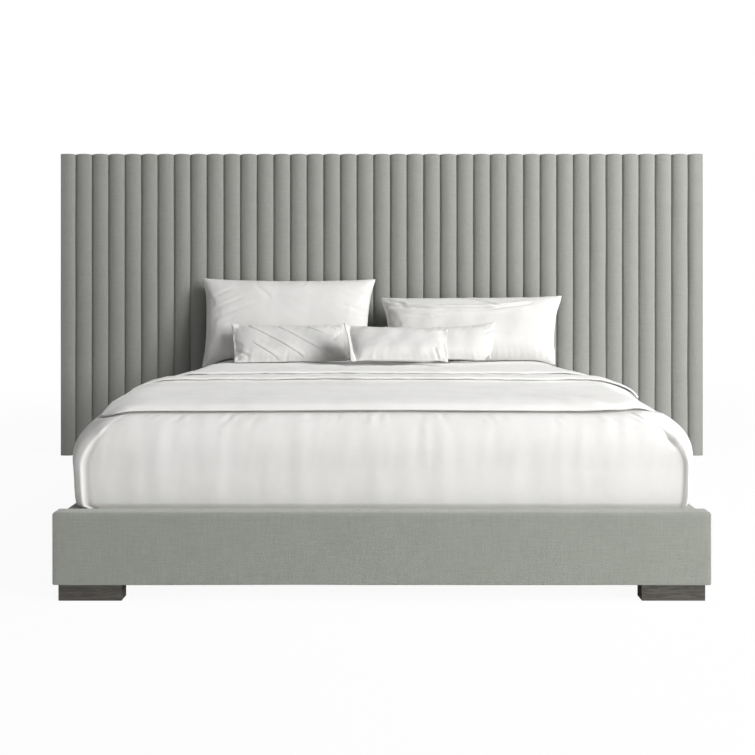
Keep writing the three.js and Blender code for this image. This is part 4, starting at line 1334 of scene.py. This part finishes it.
def top_sheet(form, rim, grow=0.0):
    """The flat middle of a bedding sheet: straight lines between its left and right rims."""
    sides = form.back > 0
    count = int(sides.sum() / 2)
    left, right = rim[: count + 1], rim[::-1][: count + 1]
    foot = rim[form.back == 0]
    share = (foot[:, 0] - foot[0, 0]) / (foot[-1, 0] - foot[0, 0])
    share = np.unique(np.round(share, 7))
    grid = left[:, None, :] * (1 - share[None, :, None]) + right[:, None, :] * share[None, :, None]
    grid[..., 2] = BED_TOP + grow + Bedding.sinking(grid[..., 0], grid[..., 1])
    flat = grid[..., :2] + np.array([0.0, 3.0])
    return Patch(grid, flat)


BLANKET_GROW = 0.0090
BLANKET_THICK = 0.005
LAYER_RISE = 0.0125
NOSE = 0.0025
SIDE_RISE = 0.0110
SETTLE = 0.0032
STRIP_STEP = 0.014
FOLD_EDGES = (-0.470, -0.085)


def fold_drift(x):
    """How far the folds across the bed stray along it."""
    return 0.012 * waver(x, 1.3, 51) + 0.003 * waver(x, 0.3, 52)


def layer_lift(x, count):
    """How high that many turned-back layers stand: soft across the bed, close at its sides."""
    return count * (LAYER_RISE + (SIDE_RISE - LAYER_RISE) * smooth(np.abs(x), 0.76, 0.93))


def blanket_folds(x, y):
    """Heights of the blanket's soft folds, as a sum of rounded ridges and hollows across the bed:
    each turned-back edge swells into a roll with a hollow in front of it, and at the right the
    ridges fan out at a slant. A hollow goes no deeper than SETTLE, where it meets the cloth
    beneath."""
    y = y - fold_drift(x)
    right = smooth(x, 0.1, 0.7)
    left = smooth(-x, 0.1, 0.6)
    out = 0.0
    for edge, roll, hollow in zip(FOLD_EDGES, (0.0145, 0.0125), (0.0060, 0.0070)):
        out = out + roll * bump(y, edge + 0.035, 0.045) - hollow * bump(y, edge - 0.045, 0.042)
    out = out + 0.0110 * bump(y, -0.280, 0.032) - 0.0040 * bump(y, -0.345, 0.030)
    out = out + 0.0110 * bump(y, -0.575, 0.024) * (0.75 + 0.25 * waver(x, 0.5, 53))
    out = out - 0.0040 * bump(y, -0.635, 0.030) + 0.0060 * bump(y, -0.990, 0.070)
    out = out - 0.0060 * bump(y - 0.03 * x, -0.780, 0.018) * left
    out = out + 0.0080 * bump(y + 0.04 * x, -0.845, 0.020) * left
    slant = (x - 0.45) * 0.42 + (y + 0.86) * 0.9
    slants = bump(slant, 0, 0.020) + 0.8 * bump(slant, 0.075, 0.024) + 0.6 * bump(slant, 0.16, 0.03)
    out = out + 0.0095 * right * slants
    out = out + 0.0013 * crumple(x * 0.35, y, 0.12, 55) + 0.0007 * crumple(x * 0.6, y, 0.05, 56)
    out = out + 0.003 * smooth(y, 0.0, 0.25) * crumple(x, y, 0.22, 57)
    out = -pressed(-out, SETTLE / 3, SETTLE * 2 / 3)
    return out * (1 - 0.7 * smooth(np.abs(x), 0.84, 0.98))


def lifted(points, level, heights):
    """Moves the points of a blanket grid out from the bed by those heights."""
    normal = normals_of(points)
    normal *= np.where(normal[..., 2:] < 0, -1.0, 1.0)
    flat = smooth(level, 3.3, 3.9)[..., None]
    normal = normal * (1 - flat) + np.array([0.0, 0.0, 1.0]) * flat
    return points + normal * heights[..., None]


def rows_measured(points):
    """Cloth coordinates of a grid, in metres along its rows and columns."""
    across = np.cumsum(np.linalg.norm(np.diff(points, axis=1), axis=2), axis=1)
    down = np.cumsum(np.linalg.norm(np.diff(points, axis=0), axis=2), axis=0)
    across = np.concatenate([np.zeros((len(points), 1)), across], axis=1)
    down = np.concatenate([np.zeros((1, points.shape[1])), down], axis=0)
    return np.stack([across - across[:, -1:] / 2, down], -1)


def turned_rows(number):
    """Places along the bed and drops of a turned-back layer's rows: round its rolled edge first,
    then along to the head."""
    edge, past = FOLD_EDGES[number], layer_end(number)
    turn = np.radians((-85.0, -60.0, -35.0, -10.0, 20.0, 50.0))
    lying = np.concatenate([spaced(edge + NOSE, edge + 0.2, 0.009), spaced(edge + 0.2, past, 0.018)[1:]])
    y = np.concatenate([edge + NOSE * (1 - np.cos(turn)), lying])
    return y, np.concatenate([NOSE * (np.sin(turn) - 1), 0 * lying])[:, None]


def layer_end(number):
    """Where a turned-back layer ends at the head."""
    return HEAD_END - 0.012 * (number + 1)


def strip_levels(hem, columns):
    """The level of each column of a strip across the bed: up one side, over the top and down."""
    rise = np.concatenate([np.linspace(hem, 3, 22), np.linspace(3, 4, 8)[1:]])
    side = (columns - len(spaced(-INNER, INNER, STRIP_STEP)[1:-1])) // 2
    return np.concatenate([rise, np.full(columns - 2 * side, 4.0), rise[::-1]])[None, :]


def turned_layer(number, name):
    """One of the layers turned back over the blanket: a strip of cloth across the bed that ends
    in a rounded fold towards the foot and runs under the pillows to the head."""
    count = number + 1
    y, nose = turned_rows(number)
    hem = 2.36 + 0.05 * number
    points = Bedding.strip(y, hem, STRIP_STEP, BLANKET_GROW + LAYER_RISE * count)
    level = strip_levels(hem, points.shape[1]) + 0 * y[:, None]
    x = points[..., 0]
    points[..., 1] += fold_drift(x) * (1 - smooth(y[:, None], 0.2, 0.9))
    heights = layer_lift(x, count) - layer_lift(0.0, count)
    heights = heights + nose * (1 - 0.8 * smooth(np.abs(x), 0.70, 0.90))
    heights = heights + blanket_folds(x, points[..., 1])
    heights = heights + 0.0010 * crumple(x, 6.0 * number + y[:, None], 0.08, 75)
    points = lifted(points, level, heights)
    layer = build(name, [Patch(points, rows_measured(points))], BRUSHED, "mattress_set")
    thicken(layer, BLANKET_THICK, 0.0)


def blanket():
    """The white blanket over the made bed: it stops short of the foot and hangs a little down
    the sides."""
    core = BULGE_X - CORNER
    edge = spaced(0.90, core, 0.006)[:-1] / core
    middle = spaced(-0.90, 0.90, 0.014) / core
    foot = np.concatenate([-edge[::-1], middle[1:-1], edge])
    reach = 2.015
    side = np.concatenate([spaced(0, 0.9, 0.02), spaced(0.9, reach, 0.009)[1:-1]])
    form = Bedding(1 - side / reach, 8, foot)
    around, _ = form.lengths(form.at(np.array([[2.0]])))
    start = blanket_hem(around)
    share = np.linspace(0, 1, 26)[:-1, None]
    top_levels = np.broadcast_to(np.linspace(3, 4, 9)[:, None], (9, len(start)))
    levels = np.concatenate([start + (3 - start) * share, top_levels])
    points = form.at(levels, BLANKET_GROW)
    top = top_sheet(form, points[-1], BLANKET_GROW)
    edge_fade = smooth(levels - start, 0.0, 0.10)
    heights = blanket_folds(points[..., 0], points[..., 1]) * (0.35 + 0.65 * edge_fade)
    points = lifted(points, levels, heights)
    top.points[..., 2] += blanket_folds(top.points[..., 0], top.points[..., 1])
    patches = [Patch(points, rows_measured(points)), top]
    cover = build("blanket_cloth", patches, BRUSHED, "mattress_set", weld=2e-4)
    thicken(cover, BLANKET_THICK, 0.0)
    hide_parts("blanket")


coverlet()
blanket()
turned_layer(0, "blanket_turned_back")
turned_layer(1, "sheet_turned_back")


# ---- pillows and cushions ----------------------------------------------------------------

CLOTH_STEP = 0.012
FRAMES = 20
ROLL_UNDER = 0.012
HEAD_GAP = 0.015
REST_GAP = 0.015
CREASE_END = 0.25


def pouch(width, height, thick, pinch, flange):
    """A flat-sewn case: two crowned faces that meet in a knife edge, or in a flat flange at the
    left end.

    At s, t from -1 to 1 the sides are pulled in between the corners, and the half thickness
    falls off as a power of (1 - s^4)(1 - t^4)."""
    s, t = np.meshgrid(spaced(-1, 1, 2 * CLOTH_STEP / width), spaced(-1, 1, 2 * CLOTH_STEP / height))
    x = width / 2 * s * (1 - pinch * (1 - t ** 2) * s ** 2)
    y = height / 2 * t * (1 - pinch * 1.3 * (1 - s ** 2) * t ** 2)
    flat_end = 1 - 2 * flange / width * (s < 0)
    inner_s, inner_t = np.clip(np.abs(s) / flat_end, 0, 1), np.abs(t)
    rise = thick / 2 * ((1 - inner_s ** 4) * (1 - inner_t ** 4)) ** 0.62
    rise = rise + 0.0015 * (np.maximum(np.abs(s), np.abs(t)) < 0.9999)
    flat = np.stack([x, y], -1)
    front = Patch(np.stack([x, y, rise], -1), flat)
    back = Patch(np.stack([x, y, -rise], -1), flat + np.array([2.0, 0]))
    return [front, back]


def coordinates(mesh):
    """A mesh's points as rows of x, y, z."""
    values = np.empty(len(mesh.vertices) * 3, np.float32)
    mesh.vertices.foreach_get("co", values)
    return values.reshape(-1, 3).astype(float)


def set_coordinates(mesh, values):
    """Moves a mesh's points to rows of x, y, z."""
    mesh.vertices.foreach_set("co", values.astype(np.float32).ravel())
    mesh.update()


def evaluated(made):
    """The object's mesh with its modifiers applied."""
    graph = bpy.context.evaluated_depsgraph_get()
    final = made.evaluated_get(graph)
    return bpy.data.meshes.new_from_object(final, preserve_all_data_layers=True, depsgraph=graph)


def inflate(made, pressure, slack, side_cap, cap):
    """Fills a sewn case by cloth simulation: pressure inside and a little spare cloth. The moves
    ease off towards side_cap in the case's own plane and towards cap out of it."""
    scene = bpy.context.scene
    start = coordinates(made.data)
    cloth = made.modifiers.new("filling", "CLOTH")
    rules = cloth.settings
    rules.quality = 6
    rules.mass = 0.25
    rules.tension_stiffness = rules.compression_stiffness = 22
    rules.shear_stiffness = 8
    rules.bending_stiffness = 0.35
    rules.use_pressure = True
    rules.uniform_pressure_force = pressure
    rules.shrink_min = -slack
    rules.effector_weights.gravity = 0
    cloth.point_cache.frame_start, cloth.point_cache.frame_end = 1, FRAMES
    for number in range(1, FRAMES + 1):
        scene.frame_set(number)
    filled = evaluated(made)
    moved = coordinates(filled) - start
    far = np.linalg.norm(moved[:, :2], axis=1, keepdims=True)
    moved[:, :2] *= side_cap * np.tanh(far / side_cap) / np.maximum(far, 1e-9)
    moved[:, 2] = cap * np.tanh(moved[:, 2] / cap)
    made.modifiers.remove(cloth)
    set_coordinates(made.data, start + moved)
    bpy.data.meshes.remove(filled)
    scene.frame_set(1)


def refine(made, levels):
    """One or more subdivisions, applied."""
    smoother = made.modifiers.new("smooth", "SUBSURF")
    smoother.levels = smoother.render_levels = levels
    finer = evaluated(made)
    made.modifiers.remove(smoother)
    old = made.data
    made.data = finer
    bpy.data.meshes.remove(old)


def crease(points, start, end, depth, width):
    """A fold line pressed into the front face between two places on it, fading at its ends."""
    start, end = np.array(start), np.array(end)
    run = end - start
    share = ((points[:, :2] - start) @ run) / (run @ run)
    near = start + np.clip(share, 0, 1)[:, None] * run
    sideways = (points[:, :2] - near) @ np.array([-run[1], run[0]]) / np.linalg.norm(run)
    fade = smooth(share, -0.02, CREASE_END) * (1 - smooth(share, 1 - CREASE_END, 1.02))
    ridge = 0.6 * bump(sideways, width * 1.5, width) + 0.3 * bump(sideways, -width * 1.8, width * 1.2)
    return depth * fade * (ridge - bump(sideways, 0, width * 0.7)) * (points[:, 2] > 0)


def edge_puckers(points, seed):
    """Short folds running in from a case's seams, where spare cloth gathers."""
    w, h = (np.abs(points[:, axis]).max() for axis in (0, 1))
    a, b = points[:, 0], points[:, 1]
    from_side, from_end = w - np.abs(a), h - np.abs(b)
    strong = 0.5 + 0.5 * waver(np.sign(a) * 3 + b, 0.3, seed + 3)
    sides = waver(b + 0.4 * from_side * np.sign(b) + 2 * np.sign(a), 0.040, seed) * strong
    ends = waver(a + 0.4 * from_end * np.sign(a) + 2 * np.sign(b), 0.045, seed + 1)
    sides = sides * smooth(from_side, 0.0, 0.018) * np.exp(-from_side / 0.055)
    ends = ends * smooth(from_end, 0.0, 0.015) * np.exp(-from_end / 0.030) * 0.6
    return 0.0042 * (sides + ends) * (points[:, 2] > 0)


def tuck(points, start, end):
    """A sewn tuck across a face: a low pleat whose edge falls to a fine sharp line."""
    start, end = np.array(start), np.array(end)
    run = (end - start) / np.linalg.norm(end - start)
    along = (points[:, :2] - start) @ run
    aside = (points[:, 0] - start[0]) * run[1] - (points[:, 1] - start[1]) * run[0]
    reach = np.linalg.norm(end - start)
    fade = smooth(along, -0.01, 0.03) * (1 - smooth(along, reach - 0.05, reach + 0.01))
    pleat = 0.0035 * smooth(aside, -0.03, 0.0) * (1 - smooth(aside, 0.0, 0.004))
    return fade * (pleat - 0.003 * bump(aside, 0.005, 0.0025)) * (points[:, 2] > 0)


# Tucks across a case, as shares of its width and height from the left bottom.
TUCKS = {
    "cushion_tucked": [
        ((0.13, 0.98), (0.66, 0.02)),
        ((0.40, 0.92), (0.89, 0.02)),
        ((0.65, 0.90), (0.86, 0.60)),
        ((0.88, 0.90), (0.98, 0.74)),
        ((0.19, 0.44), (0.44, 0.00)),
    ],
}


def stood(points, corners):
    """Carries a case from its own plane to the four corners of its seam.

    P = bilinear(corners; u, v) + n c, where n is the unit normal of the bilinear patch."""
    half = np.abs(points).max(axis=0)
    u, v = points[:, 0:1] / half[0] / 2 + 0.5, points[:, 1:2] / half[1] / 2 + 0.5
    left_top, right_top, left_low, right_low = (np.array(corner) for corner in corners)
    across = (right_top - left_top) * v + (right_low - left_low) * (1 - v)
    up = (left_top - left_low) * (1 - u) + (right_top - right_low) * u
    normal = np.cross(across, up)
    normal /= np.linalg.norm(normal, axis=1, keepdims=True)
    base = left_low + (right_low - left_low) * u + up * v
    return base + normal * points[:, 2:3], u[:, 0], v[:, 0]


def bed_surface(x, y):
    """Height of the blanket under a pillow, with the bed's rounded shoulders."""
    aside = np.clip((np.abs(x) - BULGE_X + RUN) / RUN, 0, 1)
    top = BED_TOP + BLANKET_GROW + layer_lift(x, 2) + Bedding.sinking(x, y) + blanket_folds(x, y)
    return BULGE_Z + (top - BULGE_Z) * (1 - aside ** 2.5) ** 0.4


# Each case's seam corners: left top, right top, left bottom and right bottom, in metres.
PILLOWS = {
    "pillow_back_left": dict(
        corners=((-1.060, 0.975, 1.069), (-0.037, 0.975, 1.063),
                 (-1.026, 0.800, 0.556), (-0.075, 0.800, 0.590)),
        thick=0.175, pinch=0.032, droop=0.006, seed=61),
    "pillow_back_right": dict(
        corners=((-0.005, 0.946, 0.951), (1.059, 0.946, 0.964),
                 (0.030, 0.676, 0.599), (0.963, 0.676, 0.584)),
        thick=0.165, pinch=0.028, droop=0.011, seed=62),
    "cushion_tucked": dict(
        corners=((-0.842, 0.714, 0.810), (-0.213, 0.714, 0.808),
                 (-0.795, 0.540, 0.594), (-0.186, 0.540, 0.613)),
        thick=0.112, pinch=0.016, droop=0.008, seed=63),
    "cushion_lumbar_rear": dict(
        corners=((0.016, 0.622, 0.804), (0.626, 0.622, 0.826),
                 (0.020, 0.478, 0.616), (0.581, 0.478, 0.621)),
        thick=0.090, pinch=0.02, droop=0.010, seed=64),
    "cushion_lumbar_front": dict(
        corners=((-0.202, 0.494, 0.820), (0.356, 0.494, 0.801),
                 (-0.165, 0.276, 0.637), (0.337, 0.276, 0.631)),
        thick=0.108, pinch=0.016, droop=0.010, seed=65, flange=0.020),
}
BODIES = {
    "pillow_back_left": "back_pillow_left",
    "pillow_back_right": "back_pillow_right",
    "cushion_tucked": "tucked_cushion",
    "cushion_lumbar_rear": "rear_lumbar",
    "cushion_lumbar_front": "front_lumbar",
}


# Folds on each case's front: start and end as shares of its width and height from the left
# bottom, then depth and width in metres.
CREASES = {
    "pillow_back_left": [
        ((0.03, 0.70), (0.21, 0.86), 0.0020, 0.012),
        ((0.06, 0.58), (0.27, 0.74), 0.0026, 0.010),
        ((0.05, 0.48), (0.36, 0.68), 0.0022, 0.014),
        ((0.07, 0.40), (0.22, 0.50), 0.0020, 0.010),
        ((0.30, 0.92), (0.42, 0.70), 0.0030, 0.018),
        ((0.99, 0.76), (0.84, 0.81), 0.0025, 0.011),
        ((0.99, 0.55), (0.82, 0.62), 0.0025, 0.012),
        ((0.62, 0.97), (0.58, 0.86), 0.0022, 0.010),
    ],
    "pillow_back_right": [
        ((0.00, 0.80), (0.31, 0.67), 0.020, 0.014),
        ((0.24, 0.68), (0.68, 0.69), 0.020, 0.013),
        ((0.58, 0.69), (0.84, 0.79), 0.013, 0.012),
        ((0.44, 0.94), (0.66, 0.72), 0.013, 0.011),
        ((0.02, 0.93), (0.15, 0.72), 0.008, 0.011),
        ((0.10, 0.60), (0.33, 0.54), 0.006, 0.012),
        ((0.99, 0.55), (0.86, 0.61), 0.004, 0.012),
    ],
    "cushion_tucked": [
        ((0.98, 0.80), (0.88, 0.45), 0.003, 0.012),
        ((0.03, 0.30), (0.16, 0.10), 0.003, 0.010),
    ],
    "cushion_lumbar_rear": [
        ((0.99, 0.80), (0.90, 0.66), 0.003, 0.009),
        ((0.99, 0.35), (0.88, 0.42), 0.003, 0.009),
    ],
    "cushion_lumbar_front": [
        ((0.20, 0.99), (0.27, 0.86), 0.004, 0.009),
        ((0.93, 0.55), (0.97, 0.05), 0.006, 0.009),
        ((0.85, 0.30), (0.90, 0.02), 0.006, 0.008),
    ],
}


def creases_of(name, points):
    """The folds and tucks that a case shows on its front."""
    size = np.abs(points[:, :2]).max(axis=0)
    out = 0 * points[:, 0]
    for start, end, depth, width in CREASES[name]:
        out += crease(points, (np.array(start) * 2 - 1) * size, (np.array(end) * 2 - 1) * size,
                      depth, width)
    for start, end in TUCKS.get(name, []):
        out += tuck(points, (np.array(start) * 2 - 1) * size, (np.array(end) * 2 - 1) * size)
    return out


def plumped(name, points, width, height, seed, flange):
    """Heights of a filled case out of its own plane: creased and rumpled in front, fuller
    towards its foot, and its flange bent forwards."""
    a, b, c = points.T
    front = c > 0
    c = c + creases_of(name, points) + edge_puckers(points, seed)
    rumple = 0.0022 * crumple(a, b, 0.17, seed) + 0.0004 * crumple(a, b, 0.07, seed + 7)
    c = c + rumple * smooth(np.abs(c), 0.004, 0.03) * front
    c = c * (0.88 + 0.24 * smooth(-b, -height / 2, height / 2))
    if flange:
        c = c + 0.7 * flange * smooth(-a, width / 2 - flange * 1.1, width / 2)
    return c


def settled(placed, u, v, droop):
    """A stood case at rest: rolled back along its foot, its top edge hanging between the
    corners, clear of the headboard behind and of the bedding beneath."""
    x, y, z = placed.T
    y = y + ROLL_UNDER * (1 - smooth(v, 0.0, 0.3))
    z = z - droop * (1 - (2 * u - 1) ** 4) * smooth(v, 0.4, 1)
    y = pressed(y, HEAD_Y - HEAD_GAP, 0.012)
    floor = bed_surface(x, y)
    aside = 0.011 * smooth(np.abs(x), 0.82, 0.95)
    z = -pressed(-z, -(floor + aside + REST_GAP), 0.009)
    return np.stack([x, y, z], -1)


def pillow(name, corners, thick, pinch, droop, seed, flange=0.0):
    """A filled pillow or cushion: sewn flat, filled, creased, leaned back and settled on the bed."""
    left_top, right_top, left_low, right_low = (np.array(corner) for corner in corners)
    width = (np.linalg.norm(right_top - left_top) + np.linalg.norm(right_low - left_low)) / 2
    height = (np.linalg.norm(left_top - left_low) + np.linalg.norm(right_top - right_low)) / 2
    made = build(f"{name}_case", pouch(width, height, thick, pinch, flange), SHEETING, BODIES[name])
    inflate(made, 5.0, 0.09, 0.006, 0.016)
    refine(made, 2 if name in TUCKS else 1)
    points = coordinates(made.data)
    points[:, 2] = plumped(name, points, width, height, seed, flange)
    set_coordinates(made.data, settled(*stood(points, corners), droop))
    shade_smooth(made.data)
    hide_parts(name)


for name, facts in PILLOWS.items():
    pillow(name, **facts)
